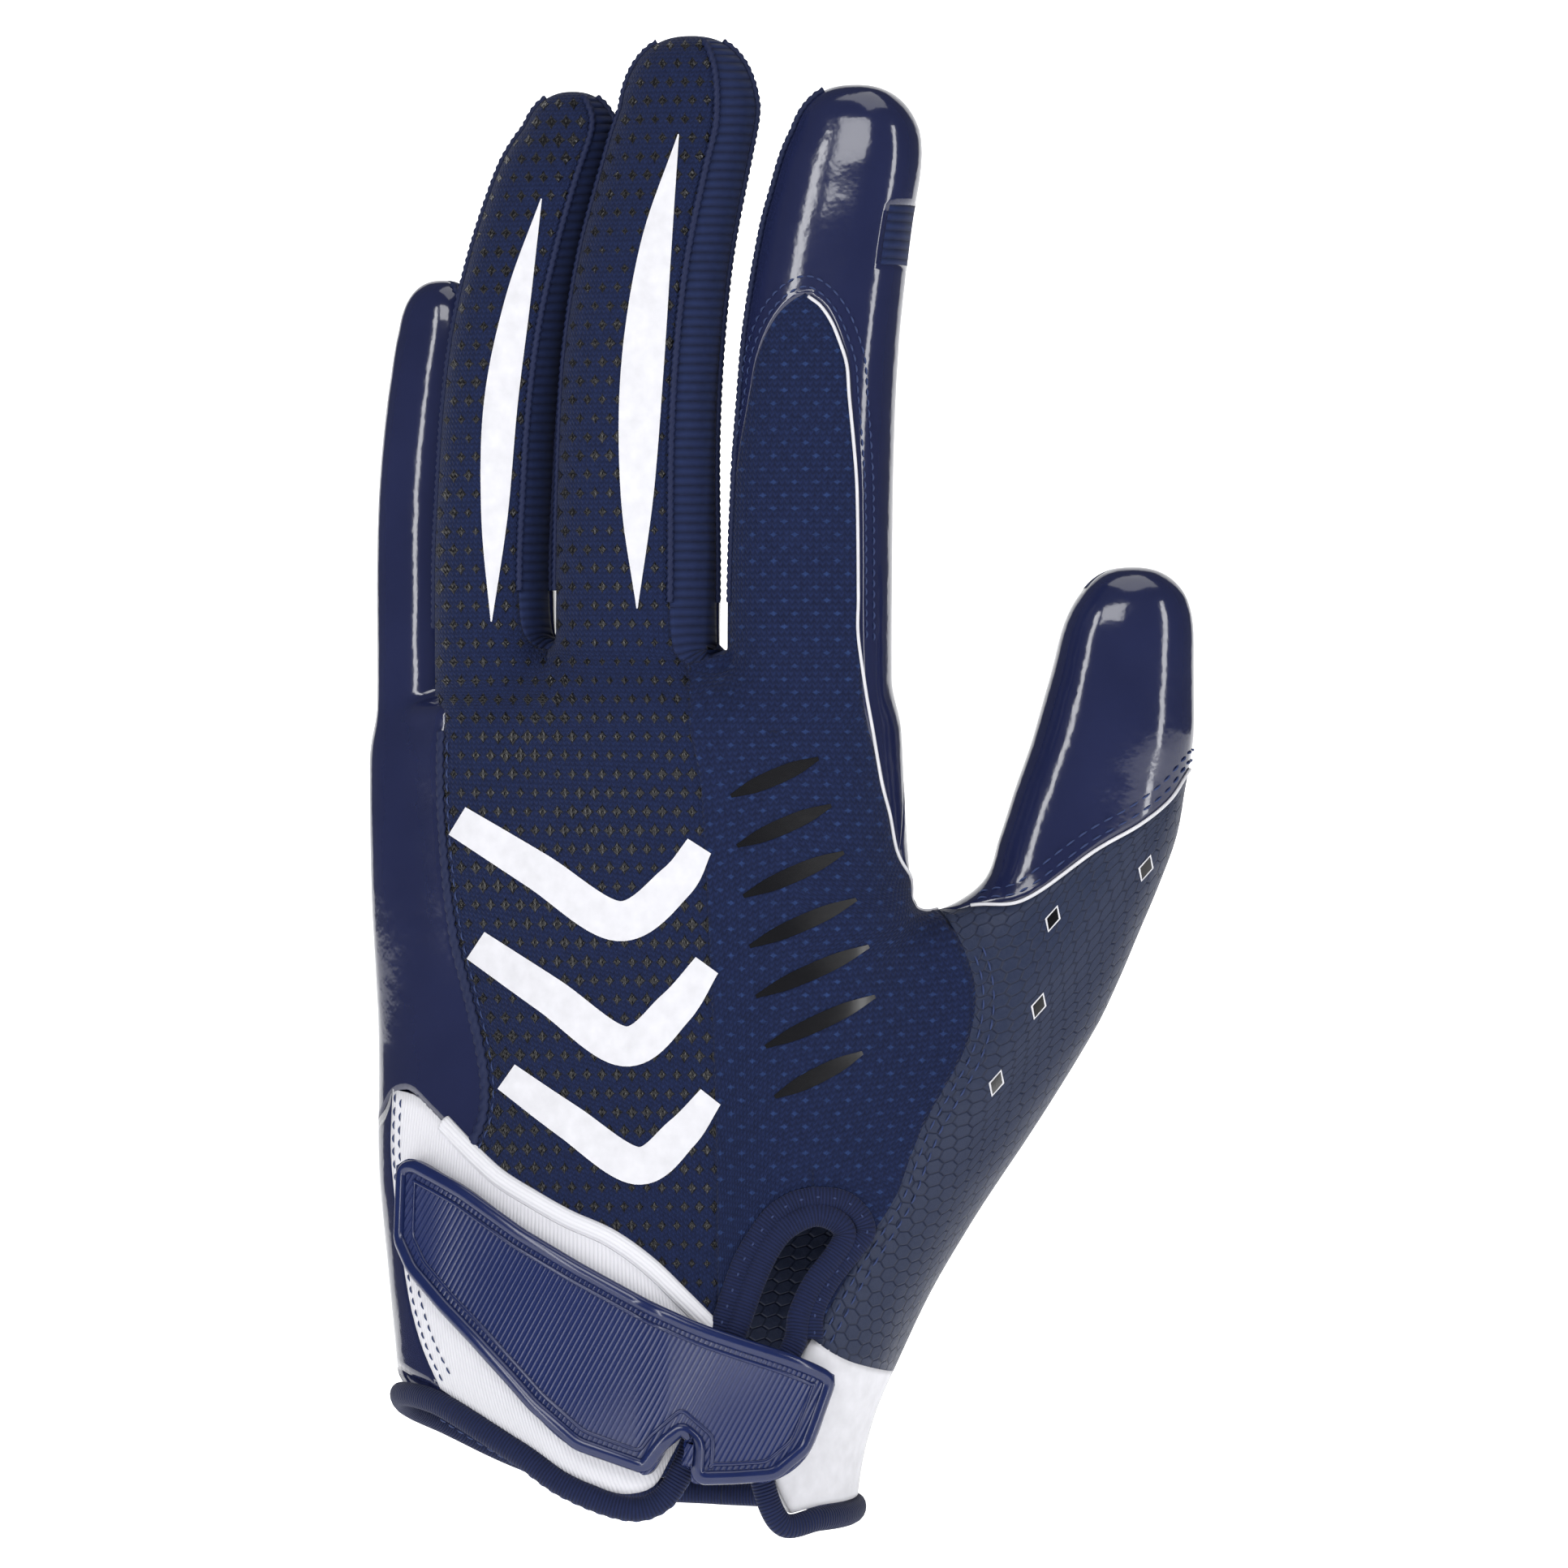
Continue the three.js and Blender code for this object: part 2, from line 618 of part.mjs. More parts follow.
// Knit back of the hand, with the back strips of the ring, middle and index fingers.
function backPanel() {
  const ring = sheet(
    seam("cuffRing", onBack, 4),
    levelRow(CROTCH.pinkieRing.back, CROTCH.ringMiddle.back, onBack, 4),
    LINE.pinkie,
    LINE.ringMiddle,
  );
  const middle = sheet(
    seam("cuffMiddle", onBack, 5),
    levelRow(CROTCH.ringMiddle.back, CROTCH.middleIndex.back, onBack, 5),
    LINE.ringMiddle,
    LINE.middleIndex,
  );
  const ventX = SEAMS.ventTopBack.at(-1)[0];
  const indexLeft = sheet(
    seam("ventLeft", onBack, 5),
    levelRow(CROTCH.middleIndex.back, ventX, onBack, 5),
    LINE.middleIndex,
    LINE.vent,
  );
  const ventSide = [...LINE.ventRight.toReversed(), ...LINE.vent.slice(1)];
  const indexRight = sheet(
    Array(5).fill(ventSide[0]),
    levelRow(ventX, INDEX_BASE[0].x, onBack, 4).map((p, i) => (i === 4 ? INDEX_BASE[0] : p)),
    ventSide,
    meshRight,
  );
  return { ring, middle, indexLeft, indexRight };
}

function addBackPanel() {
  const hand = backPanel();
  const ringStrip = strip(
    FINGERS.ring,
    [STRIP.ring.left, STRIP.ring.right],
    [
      stripEdge(FINGERS.ring, STRIP.ring.left, CROTCH.pinkieRing, "back"),
      stripEdge(FINGERS.ring, STRIP.ring.right, CROTCH.ringMiddle, "back"),
    ],
    onBack,
    4,
    hand.ring.at(-1),
  );
  const middleStrip = strip(
    FINGERS.middle,
    [STRIP.middle.left, STRIP.middle.right],
    [
      stripEdge(FINGERS.middle, STRIP.middle.left, CROTCH.ringMiddle, "back"),
      stripEdge(FINGERS.middle, STRIP.middle.right, CROTCH.middleIndex, "back"),
    ],
    onBack,
    5,
    hand.middle.at(-1),
  );
  add("back_panel", "knit", wall([...Object.values(hand), ringStrip, middleStrip, indexMesh(hand)], KNIT_WALL));
}

// The mesh of the index finger: from the knuckle row up to the arch.
function indexMesh(hand) {
  const base = [...hand.indexLeft.at(-1), ...hand.indexRight.at(-1).slice(1)];
  const columns = base.length - 1;
  const leftEdge = stripEdge(FINGERS.index, STRIP.indexIn.back, CROTCH.middleIndex, "back");
  const top = CROTCH.middleIndex.z + CROTCH_RADIUS;
  const heights = [...LEVELS, 136, 142.5, 149, 155, 160.5, 165.5, 170, 174, 177, 179, ARCH_TOP];
  return heights.map((z, row) => {
    if (row === 0) return base;
    const left = along(MESH_ARCH, "left", z);
    const right = along(MESH_ARCH, "right", z);
    return base.map((_, i) => {
      const t = i / columns;
      if (i === 0 && z < 140) return leftEdge({ z, rise: 0 });
      const onFinger = digitPoint(FINGERS.index, left + (right - left) * t, z);
      if (i === columns) return settle(onFinger);
      if (z >= top) return onFinger;
      const first = leftEdge({ z, rise: 0 });
      const last = settle(digitPoint(FINGERS.index, right, z));
      const onHand = onBack([gradually(first.x, last.x, t), Math.min(z, CROTCH.middleIndex.z)]);
      onHand.z = z;
      return settle(mix(onHand, onFinger, smooth((z - KNUCKLE_Z) / (top - KNUCKLE_Z)) ** 0.5));
    });
  });
}
addBackPanel();

// A side piece between two fingers: down one, round the crotch and up the other.
function addFourchette(name, crotch, left, right) {
  const columns = 3;
  const bottom = Array.from({ length: columns + 1 }, (_, i) => {
    const t = i / columns;
    const back = between(crotch, "back")(crotch.z);
    const palm = between(crotch, "palm")(crotch.z);
    if (i === 0) return back;
    if (i === columns) return palm;
    const p = mix(back, palm, t);
    p.z += 2.5 * Math.sin(Math.PI * t);
    return settle(p);
  });
  const side = ({ chain, back, palm }) =>
    climb(chain)
      .filter(({ z }) => z > crotch.z)
      .map(({ z, rise }) =>
        bottom.map((foot, i) => {
          const onFinger = digitPoint(chain, gradually(back, palm, i / columns), z, rise);
          const up = (z - crotch.z) / CROTCH_RADIUS;
          return mix(foot, onFinger, quarter(up));
        }),
      );
  const grid = [...side(left).toReversed(), bottom, ...side(right)];
  add(name, "knit", wall([grid], KNIT_WALL, { gap: CROTCH_GAP }));
}
addFourchette(
  "fourchette_pinkie_ring",
  CROTCH.pinkieRing,
  { chain: FINGERS.pinkie, back: STRIP.pinkieIn.back, palm: STRIP.pinkieIn.palm },
  { chain: FINGERS.ring, back: STRIP.ring.left, palm: STRIP.ring.palmEnd - 360 },
);
addFourchette(
  "fourchette_ring_middle",
  CROTCH.ringMiddle,
  { chain: FINGERS.ring, back: STRIP.ring.right, palm: STRIP.ring.palm },
  { chain: FINGERS.middle, back: STRIP.middle.left, palm: STRIP.middle.palmEnd - 360 },
);
addFourchette(
  "fourchette_middle_index",
  CROTCH.middleIndex,
  { chain: FINGERS.middle, back: STRIP.middle.right, palm: STRIP.middle.palm },
  { chain: FINGERS.index, back: STRIP.indexIn.back, palm: STRIP.indexIn.palm },
);

// Gloss panel of the little finger and the outer edge of the hand.
const PINKIE_CUFF = curveOn(
  [
    ...[[-24.7, 42.9], [-29.9, 48.1], [-35.1, 52.7], [-37.7, 52.7]].map(onBack),
    outerEdge(50),
    ...[[-36, 44], [-30, 37], [-22, 30]].map(onPalm),
  ],
  10,
);
function addPinkieWrap() {
  const columns = 10;
  const chain = FINGERS.pinkie;
  const angles = [STRIP.pinkieIn.back, STRIP.pinkieIn.palm - 360];
  const base = Array.from({ length: columns + 1 }, (_, i) => {
    if (i === 0) return onBack([CROTCH.pinkieRing.back, KNUCKLE_Z]);
    if (i === columns) return onPalm([CROTCH.pinkieRing.palm, KNUCKLE_Z]);
    return settle(digitPoint(chain, gradually(0, -180, (i - 0.5) / (columns - 1)), KNUCKLE_Z));
  });
  const edges = [
    stripEdge(chain, angles[0], CROTCH.pinkieRing, "back"),
    stripEdge(chain, angles[1], CROTCH.pinkieRing, "palm"),
  ];
  const finger = climb(chain).map(({ z, rise }, row) => {
    if (row === 0) return base;
    const spread = smooth((z - KNUCKLE_Z) / (CROTCH.pinkieRing.z + CROTCH_RADIUS - KNUCKLE_Z));
    return base.map((_, i) => {
      if (i === 0) return edges[0]({ z, rise });
      if (i === columns) return edges[1]({ z, rise });
      const low = gradually(0, -180, (i - 0.5) / (columns - 1));
      const high = gradually(angles[0], angles[1], i / columns);
      return settle(digitPoint(chain, gradually(low, high, spread), z, rise));
    });
  });
  const handEdge = sheet(PINKIE_CUFF, base, LINE.pinkie, LINE.pinkiePalm);
  add("pinkie_wrap", "gloss", wall([handEdge, finger], GLOSS_WALL));
}
addPinkieWrap();

// Gloss panel of the index finger: a sleeve above the mesh arch, open towards the middle
// finger, with a strip that tapers down the edge of the hand.
const GUSSET = { index: { rows: [19, 21], columns: [2, 4] }, thumb: { rows: [7, 9], columns: [12, 14] } };
const INDEX_HEIGHTS = [136, 142.5, 149, 155, 160.5, 165.5, 170, 174, 177, 179, ARCH_TOP, 185, 190, 194.6];
function indexSleeve() {
  const chain = FINGERS.index;
  const start = chain.tip - chain.round;
  const levels = [
    ...[...LEVELS, ...INDEX_HEIGHTS].map((z) => ({ z, rise: 0 })),
    ...[0, 0.3, 0.56, 0.8, 1].map((rise) => ({ z: start, rise })),
  ];
  const palmAngle = 360 + STRIP.indexIn.palm;
  const inner = stripEdge(chain, palmAngle, CROTCH.middleIndex, "palm");
  const main = levels.map(({ z, rise }, row) => {
    const right = along(MESH_ARCH, "right", z);
    const spread = smooth((z - KNUCKLE_Z) / (CROTCH.middleIndex.z + CROTCH_RADIUS - KNUCKLE_Z));
    return INDEX_BASE.map((p, i) => {
      if (row === 0) return p;
      if (i === INDEX_COLUMNS) return inner({ z, rise });
      const even = gradually(right, palmAngle, i / INDEX_COLUMNS);
      const low =
        i <= INDEX_SIDE
          ? gradually(right, INDEX_PALM, i / INDEX_SIDE)
          : gradually(INDEX_PALM, 225, (i - INDEX_SIDE) / (INDEX_COLUMNS - INDEX_SIDE));
      return settle(digitPoint(chain, gradually(low, even, spread), z, rise));
    });
  });
  const leg = levels
    .filter(({ z, rise }) => z >= 149 || rise > 0)
    .map(({ z, rise }) => {
      const left = along(MESH_ARCH, "left", z);
      return [0, 1, 2].map((i) => digitPoint(chain, gradually(STRIP.indexIn.back, left, i / 2), z, rise));
    });
  return { main, leg };
}

function indexStrip() {
  const right = sideLine(INDEX_PALM);
  const left = sideLine(MESH_ARCH.right[0]);
  return left.map((p, row) => {
    if (row === 0) return Array(INDEX_SIDE + 1).fill(SIDE_TOP);
    if (row === left.length - 1) return INDEX_BASE.slice(0, INDEX_SIDE + 1);
    return Array.from({ length: INDEX_SIDE + 1 }, (_, i) => {
      if (i === 0) return p;
      if (i === INDEX_SIDE) return right[row];
      return settle(mix(p, right[row], i / INDEX_SIDE));
    });
  });
}
const sleeve = indexSleeve();
sleeve.main.hole = (i, j) => {
  const { rows, columns } = GUSSET.index;
  return j >= rows[0] && j < rows[1] && i >= columns[0] && i < columns[1];
};
add("index_wrap", "gloss", wall([sleeve.main, sleeve.leg, indexStrip()], GLOSS_WALL));
const window = (grid, { rows, columns }) =>
  grid.slice(rows[0], rows[1] + 1).map((row) => row.slice(columns[0], columns[1] + 1));
add("index_tip_gusset", "knit", wall([window(sleeve.main, GUSSET.index)], KNIT_WALL));

// Gloss panel of the thumb: a sleeve with a slanting lower edge, and the web to the hand.
const THUMB_EDGE = table(["angle", "z"], [
  [-90, 89], [-46, 80.5], [-22, 82.6], [-4, 89.7], [45, 98], [90, 104.7],
  [135, 98], [184, 90], [202, 83], [226, 80.5], [270, 89], [314, 80.5],
]);
const THUMB_OUTER = 11;
const THUMB_COLUMNS = 15;
const thumbAngle = (i) =>
  i <= THUMB_OUTER
    ? gradually(-46, 226, i / THUMB_OUTER)
    : gradually(226, 314, (i - THUMB_OUTER) / (THUMB_COLUMNS - THUMB_OUTER));
const edgeHeight = (angle) =>
  along({ z: THUMB_EDGE.angle, height: THUMB_EDGE.z }, "height", angle);
function thumbSleeve() {
  const start = THUMB.tip - THUMB.round;
  const rows = [0, 0.2, 0.4, 0.6, 0.8, 1];
  const columns = Array.from({ length: THUMB_COLUMNS + 1 }, (_, i) => i % THUMB_COLUMNS);
  const low = rows.map((v) =>
    columns.map((i) => {
      const angle = thumbAngle(i);
      return settle(digitPoint(THUMB, angle, gradually(edgeHeight(angle), start, v)));
    }),
  );
  const tip = [0.25, 0.5, 0.75, 1].map((rise) =>
    columns.map((i) => digitPoint(THUMB, thumbAngle(i), start, rise)),
  );
  return [...low, ...tip];
}
const thumb = thumbSleeve();
const WEB_ROWS = 3;
function thumbWeb() {
  const edge = [...thumb[0].slice(THUMB_OUTER, THUMB_COLUMNS), thumb[0][0]];
  return Array.from({ length: WEB_ROWS + 1 }, (_, j) =>
    edge.map((p) => {
      if (j === 0) return p;
      if (j === WEB_ROWS) return WEB;
      const t = j / WEB_ROWS;
      const low = mix(p, WEB, t);
      low.z -= 2 * Math.sin(Math.PI * t);
      return settle(low);
    }),
  );
}
const web = thumbWeb();
thumb.hole = (i, j) => {
  const { rows, columns } = GUSSET.thumb;
  return j >= rows[0] && j < rows[1] && i >= columns[0] && i < columns[1];
};
add("thumb_wrap", "gloss", wall([thumb, web], GLOSS_WALL));
add("thumb_tip_gusset", "knit", wall([window(thumb, GUSSET.thumb)], KNIT_WALL));

// Embossed leather round the base of the thumb.
const WEB_BACK = web.map((row) => row.at(-1)).toReversed();
const WEB_PALM = web.map((row) => row[0]);
// The leather meets itself at the web, so its two top corners keep a little apart there.
const WEB_SPLIT = 0.8;
const WEB_CORNER = {
  back: settle(WEB.clone().addScaledVector(BACK, WEB_SPLIT)),
  palm: settle(WEB.clone().addScaledVector(PALM, WEB_SPLIT)),
};
const LEATHER_TOP = [
  WEB_CORNER.back,
  ...WEB_BACK.slice(1, -1),
  ...thumb[0].slice(0, THUMB_OUTER + 1),
  ...WEB_PALM.slice(1, -1),
  WEB_CORNER.palm,
];
const LEATHER_CUFF = curveOn(
  [onBack([30, 13.5]), onBack([35, 10.2]), wristSide(75, 8), wristSide(105, 8), onPalm([32, 8]), onPalm([18, 9])],
  LEATHER_TOP.length - 1,
);
const leather = sheet(
  LEATHER_CUFF,
  LEATHER_TOP,
  [...LINE.leatherBack.slice(0, -1), WEB_CORNER.back],
  [...LINE.leatherPalm.slice(0, -1), WEB_CORNER.palm],
);
add("thumb_leather", "leather", wall([leather], LEATHER_WALL));

// Palm, with the palm strips of the ring and middle fingers.
function addPalmPanel() {
  const columns = { ring: 4, middle: 5, index: 3 };
  const ringRow = levelRow(CROTCH.pinkieRing.palm, CROTCH.ringMiddle.palm, onPalm, columns.ring);
  const middleRow = levelRow(CROTCH.ringMiddle.palm, CROTCH.middleIndex.palm, onPalm, columns.middle);
  const indexRow = INDEX_BASE.slice(INDEX_SIDE).toReversed();
  const top = [...ringRow, ...middleRow.slice(1), ...indexRow.slice(1)];
  const right = [...LINE.leatherPalm, ...WEB_RISE.slice(1), ...sideLine(INDEX_PALM).slice(1)];
  const left = curveOn(SEAMS.pinkiePalm.map(onPalm), right.length - 1);
  const hand = sheet(seam("palmCuff", onPalm, top.length - 1), top, left, right);
  const fingerPalm = (chain, name, base, crotches) =>
    strip(
      chain,
      [STRIP[name].palmEnd, STRIP[name].palm],
      [
        stripEdge(chain, STRIP[name].palmEnd, crotches[0], "palm"),
        stripEdge(chain, STRIP[name].palm, crotches[1], "palm"),
      ],
      onPalm,
      base.length - 1,
      base,
    );
  const ring = fingerPalm(FINGERS.ring, "ring", ringRow, [CROTCH.pinkieRing, CROTCH.ringMiddle]);
  const middle = fingerPalm(FINGERS.middle, "middle", middleRow, [CROTCH.ringMiddle, CROTCH.middleIndex]);
  add("palm_panel", "gloss", wall([hand, ring, middle], GLOSS_WALL));
}
addPalmPanel();

// Wrist: white jersey on the back and on the tab beside the vent, a gloss strip down the
// outer edge and a plain palm side.
const CUFF_CELLS = { side: 4, palmTurn: 3, palm: 6, tab: 10, rows: 6 };
const CUFF_TOP = {
  back: [
    ...curveOn([[-37.7, 52.7], [-35.1, 52.7], [-29.9, 48.1], [-24.7, 42.9]].map(onBack), 3),
    ...seam("cuffRing", onBack, 3).slice(1),
    ...seam("cuffMiddle", onBack, 4).slice(1),
  ],
  side: curveOn([onBack([-37.7, 52.7]), outerEdge(50), onPalm([-36, 44])], CUFF_CELLS.side),
  palm: [
    ...curveOn([[-36, 44], [-30, 37], [-22, 30]].map(onPalm), CUFF_CELLS.palmTurn),
    ...seam("palmCuff", onPalm, CUFF_CELLS.palm).slice(1),
  ],
  tab: curveOn(LEATHER_CUFF, CUFF_CELLS.tab),
};
const CUFF_LOW = {
  back: curveOn(SEAMS.cuffLow.map(onBack), CUFF_TOP.back.length - 1),
  side: curveOn([onBack([-29.5, 5.2]), outerEdge(8), onPalm([-30, 1])], CUFF_CELLS.side),
  palm: curveOn([[-30, 1], [-15, -6], [0, -10], [16, -11]].map(onPalm), CUFF_TOP.palm.length - 1),
  tab: curveOn(
    [
      ...[[26.7, -14.3], [31, -13.2]].map(onBack),
      wristSide(90, -12),
      ...[[30, -11.5], [16, -11]].map(onPalm),
    ],
    CUFF_CELLS.tab,
  ),
};
const CUFF_LINE = {
  front: seam("sideFront", onBack, CUFF_CELLS.rows),
  rear: curveOn([[-30, 1], [-33, 20], [-36, 44]].map(onPalm), CUFF_CELLS.rows),
  notch: seam("cuffRight", onBack, CUFF_CELLS.rows),
  palmEnd: curveOn([[16, -11], [17, 0], [18, 9]].map(onPalm), CUFF_CELLS.rows),
  tab: seam("tabLeft", onBack, CUFF_CELLS.rows),
};
const cuffPiece = (name, finish, left, right) =>
  add("cuff_" + name, finish, wall([sheet(...left, ...right)], CUFF_WALL));
cuffPiece("back", "white", [CUFF_LOW.back, CUFF_TOP.back], [CUFF_LINE.front, CUFF_LINE.notch]);
cuffPiece("side_strip", "gloss", [CUFF_LOW.side, CUFF_TOP.side], [CUFF_LINE.front, CUFF_LINE.rear]);
cuffPiece("palm", "knit", [CUFF_LOW.palm, CUFF_TOP.palm], [CUFF_LINE.rear, CUFF_LINE.palmEnd]);
cuffPiece("tab", "white", [CUFF_LOW.tab, CUFF_TOP.tab], [CUFF_LINE.tab, CUFF_LINE.palmEnd]);

// Ribbed binding: round the main edge of the cuff, round the vent, and round the tab.
const CORD_SIDES = 8;
const BINDING = {
  vent: { halfWidth: 1.9, halfHeight: 1.6, steps: 20 },
  main: { halfWidth: 1.5, halfHeight: 1.5, steps: 26 },
  tab: { halfWidth: 1.5, halfHeight: 1.5, steps: 14 },
};
const BINDING_LINE = {
  vent: [
    [13.6, 2.2], [15.2, 8], [17.9, 15], [20.8, 23], [23.3, 28.2], [26, 31.3], [30.3, 33.2],
    [33.8, 32.2], [35.2, 30], [33.8, 27], [30.3, 22.4], [28, 17.5], [27.2, 13], [23.7, 7],
  ].map(onBack),
  main: [
    ...[[12.2, 0.2], [9.4, -7], [5.9, -12], [0.7, -13.4], [-9.1, -9.9], [-16.9, -4.7]].map(onBack),
    onBack([-29.9, 2.9]),
    outerEdge(3.6),
    ...[[-30, -1], [-15, -8.1], [0, -12], [14.8, -13]].map(onPalm),
  ],
  tab: [
    ...[[21.8, 4.2], [21.2, -2], [22, -9], [25.2, -16], [31, -15.4]].map(onBack),
    wristSide(90, -14.2),
    ...[[30, -13.6], [16.4, -13.2]].map(onPalm),
  ],
};
function addBinding(name, { halfWidth, halfHeight, steps }, line) {
  add(name, "binding", cord(curveOn(line, steps), halfWidth, halfHeight, CORD_SIDES));
}
addBinding("cuff_binding_main", BINDING.main, BINDING_LINE.main);
addBinding("vent_binding", BINDING.vent, BINDING_LINE.vent);
addBinding("cuff_binding_tab", BINDING.tab, BINDING_LINE.tab);

// Moulded wrist strap across the vent: each row is one line across it, from low to high.
// It rises over the binding and comes down again on the tab.
const STRAP = table(["lowX", "lowZ", "highX", "highZ"], [
  [-35.4, 28.2, -35.1, 40.2],
  [-33.2, 23.2, -32.6, 41.3],
  [-28.4, 17.4, -28.4, 39.1],
  [-23.3, 12, -24.3, 36.8],
  [-14.3, 1.95, -15.1, 30.2],
  [-7.4, -3.9, -6.1, 24.8],
  [1.3, -6.9, 1, 20.9],
  [3.8, -7.8, 4.5, 19],
  [6.6, -3.9, 6.8, 17.8],
  [9.2, -1.7, 9, 16.8],
  [10.8, -3.1, 11, 15.9],
  [10.5, -7.7, 12.5, 15.3],
  [11.3, -9.2, 14, 14.7],
  [17, -9, 19, 13],
  [22.9, -8.5, 25.3, 11],
  [27.8, -3.9, 29.5, 9.4],
  [32.1, 6.5, 32.1, 8.1],
]);
const STRAP_ROWS = 4;
const STRAP_OVER = { clear: 0.7, raised: 2.3, landed: 1.4, from: 2, over: 7.5, past: 26.5, end: 32 };
function strapLift(p) {
  const { clear, raised, landed, from, over, past, end } = STRAP_OVER;
  const rise = smooth((p.x - from) / (over - from));
  const fall = smooth((p.x - past) / (end - past));
  return clear + (raised - clear) * rise - (raised - landed) * fall + STRAP_THICK;
}
const strapGrid = Array.from({ length: STRAP_ROWS + 1 }, (_, j) =>
  STRAP.lowX.map((x, i) => {
    const t = j / STRAP_ROWS;
    return onBack([gradually(x, STRAP.highX[i], t), gradually(STRAP.lowZ[i], STRAP.highZ[i], t)]);
  }),
);
add("wrist_strap", "strap", wall([strapGrid], STRAP_THICK, { lift: strapLift, gap: 0 }));

export default named;
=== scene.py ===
# %% [markdown]
# A football receiver's glove, dressed over its fixed frame.
# The real glove is sewn from thin panels, so each panel here is one smooth sheet with a
# thickness. All of them lie on one surface, which is worked out from tables of sections:
# that way the seams always meet. A sculpted mesh would also do, but then its seams would
# have to be matched to the frame's by hand.

# %% Load the frame
import json

import bmesh
import bpy
import numpy as np
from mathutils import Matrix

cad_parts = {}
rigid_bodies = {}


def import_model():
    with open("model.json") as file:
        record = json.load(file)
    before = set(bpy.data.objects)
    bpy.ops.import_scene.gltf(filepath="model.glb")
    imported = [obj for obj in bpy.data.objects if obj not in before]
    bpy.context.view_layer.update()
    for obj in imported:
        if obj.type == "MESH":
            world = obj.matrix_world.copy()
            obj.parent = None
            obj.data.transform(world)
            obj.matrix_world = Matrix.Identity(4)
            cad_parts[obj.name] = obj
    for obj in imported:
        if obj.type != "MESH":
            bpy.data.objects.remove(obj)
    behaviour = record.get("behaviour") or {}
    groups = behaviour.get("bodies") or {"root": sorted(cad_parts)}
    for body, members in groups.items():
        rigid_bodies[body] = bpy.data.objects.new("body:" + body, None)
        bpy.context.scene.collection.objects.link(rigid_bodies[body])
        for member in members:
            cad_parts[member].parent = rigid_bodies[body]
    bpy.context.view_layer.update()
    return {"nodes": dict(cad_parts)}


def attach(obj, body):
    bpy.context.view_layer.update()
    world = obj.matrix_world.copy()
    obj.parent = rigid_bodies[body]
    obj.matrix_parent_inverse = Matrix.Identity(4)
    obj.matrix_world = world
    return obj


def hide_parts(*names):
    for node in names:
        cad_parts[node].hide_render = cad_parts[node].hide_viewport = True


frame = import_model()
MM = 0.001
print("nodes in the frame:", len(frame["nodes"]))

# %% [markdown]
# The hand inside the glove gives its form. Each finger is a stack of rounded sections, and
# the hand is another one whose sections bend with the knuckles. The tables give height,
# middle, half width and half depth in millimetres.

# %% Tables of sections
SECTION_POWER = 2.4
FINGER_BLEND = 3
THUMB_BLEND = 12
CROTCH_RADIUS = 8
KNUCKLE_Z = 110.5
WRIST_Z = -24


def table(names, rows):
    """One array for each named column."""
    columns = np.array(rows, dtype=float).T
    return dict(zip(names, columns))


SECTION = ["z", "x", "y", "w", "d"]
PINKIE = {"roll": 34, "tip": 183.6, "round": 12, "rows": table(SECTION, [
    [60, -31.8, 17, 8.4, 8.6], [100, -32, 19.5, 8.2, 8.2], [117, -32.2, 21.3, 7.9, 7.7],
    [136.5, -32.5, 22.2, 7.8, 7.3], [149.5, -32.3, 22.4, 7.7, 7.1],
    [162.5, -31.4, 22.6, 7.5, 6.8], [175.5, -29.9, 22.9, 7.2, 6.4]])}
RING = {"roll": 26, "tip": 213.6, "round": 15, "rows": table(SECTION, [
    [60, -19, 8, 9.7, 9.6], [100, -20.6, 7.3, 9.6, 9.2], [136.5, -21, 7.2, 9.5, 8.7],
    [149.5, -20.5, 7.3, 9.5, 8.5], [162.5, -19.7, 7.6, 9.5, 8.3], [175.5, -18.1, 8, 9.5, 8.1],
    [188.5, -15.2, 8.7, 9.4, 7.9], [201.5, -11.2, 9.6, 9.0, 7.8], [208, -8.6, 10, 8.8, 7.6]])}
MIDDLE = {"roll": 20, "tip": 222.2, "round": 16, "rows": table(SECTION, [
    [60, 2, 0.5, 13, 11], [100, 2, -0.5, 13, 10.8], [136.5, 2.1, -0.8, 13.2, 10.4],
    [156, 2.3, -0.8, 12.9, 10], [171.6, 3.1, -0.6, 12.8, 9.6], [187.2, 5.1, 0, 12.4, 9.2],
    [202.8, 8.6, 1, 11.8, 8.7], [210.6, 10.5, 1.6, 11.4, 8.4]])}
INDEX = {"roll": 16, "tip": 214.2, "round": 15, "rows": table(SECTION, [
    [60, 31, -4.5, 13, 11.5], [100, 29.8, -6, 13.2, 11.3], [117, 29.6, -6.2, 13.1, 11],
    [136.5, 29.7, -6.2, 13.1, 10.5], [152.1, 30.1, -6, 12.9, 10.2], [163.8, 30.7, -5.6, 12.7, 9.9],
    [175.5, 31.6, -5, 12.6, 9.6], [191.1, 33.8, -4, 12.2, 9.1], [198.9, 35.5, -3.3, 11.8, 8.8],
    [206.7, 37, -2.8, 11.3, 8.5]])}
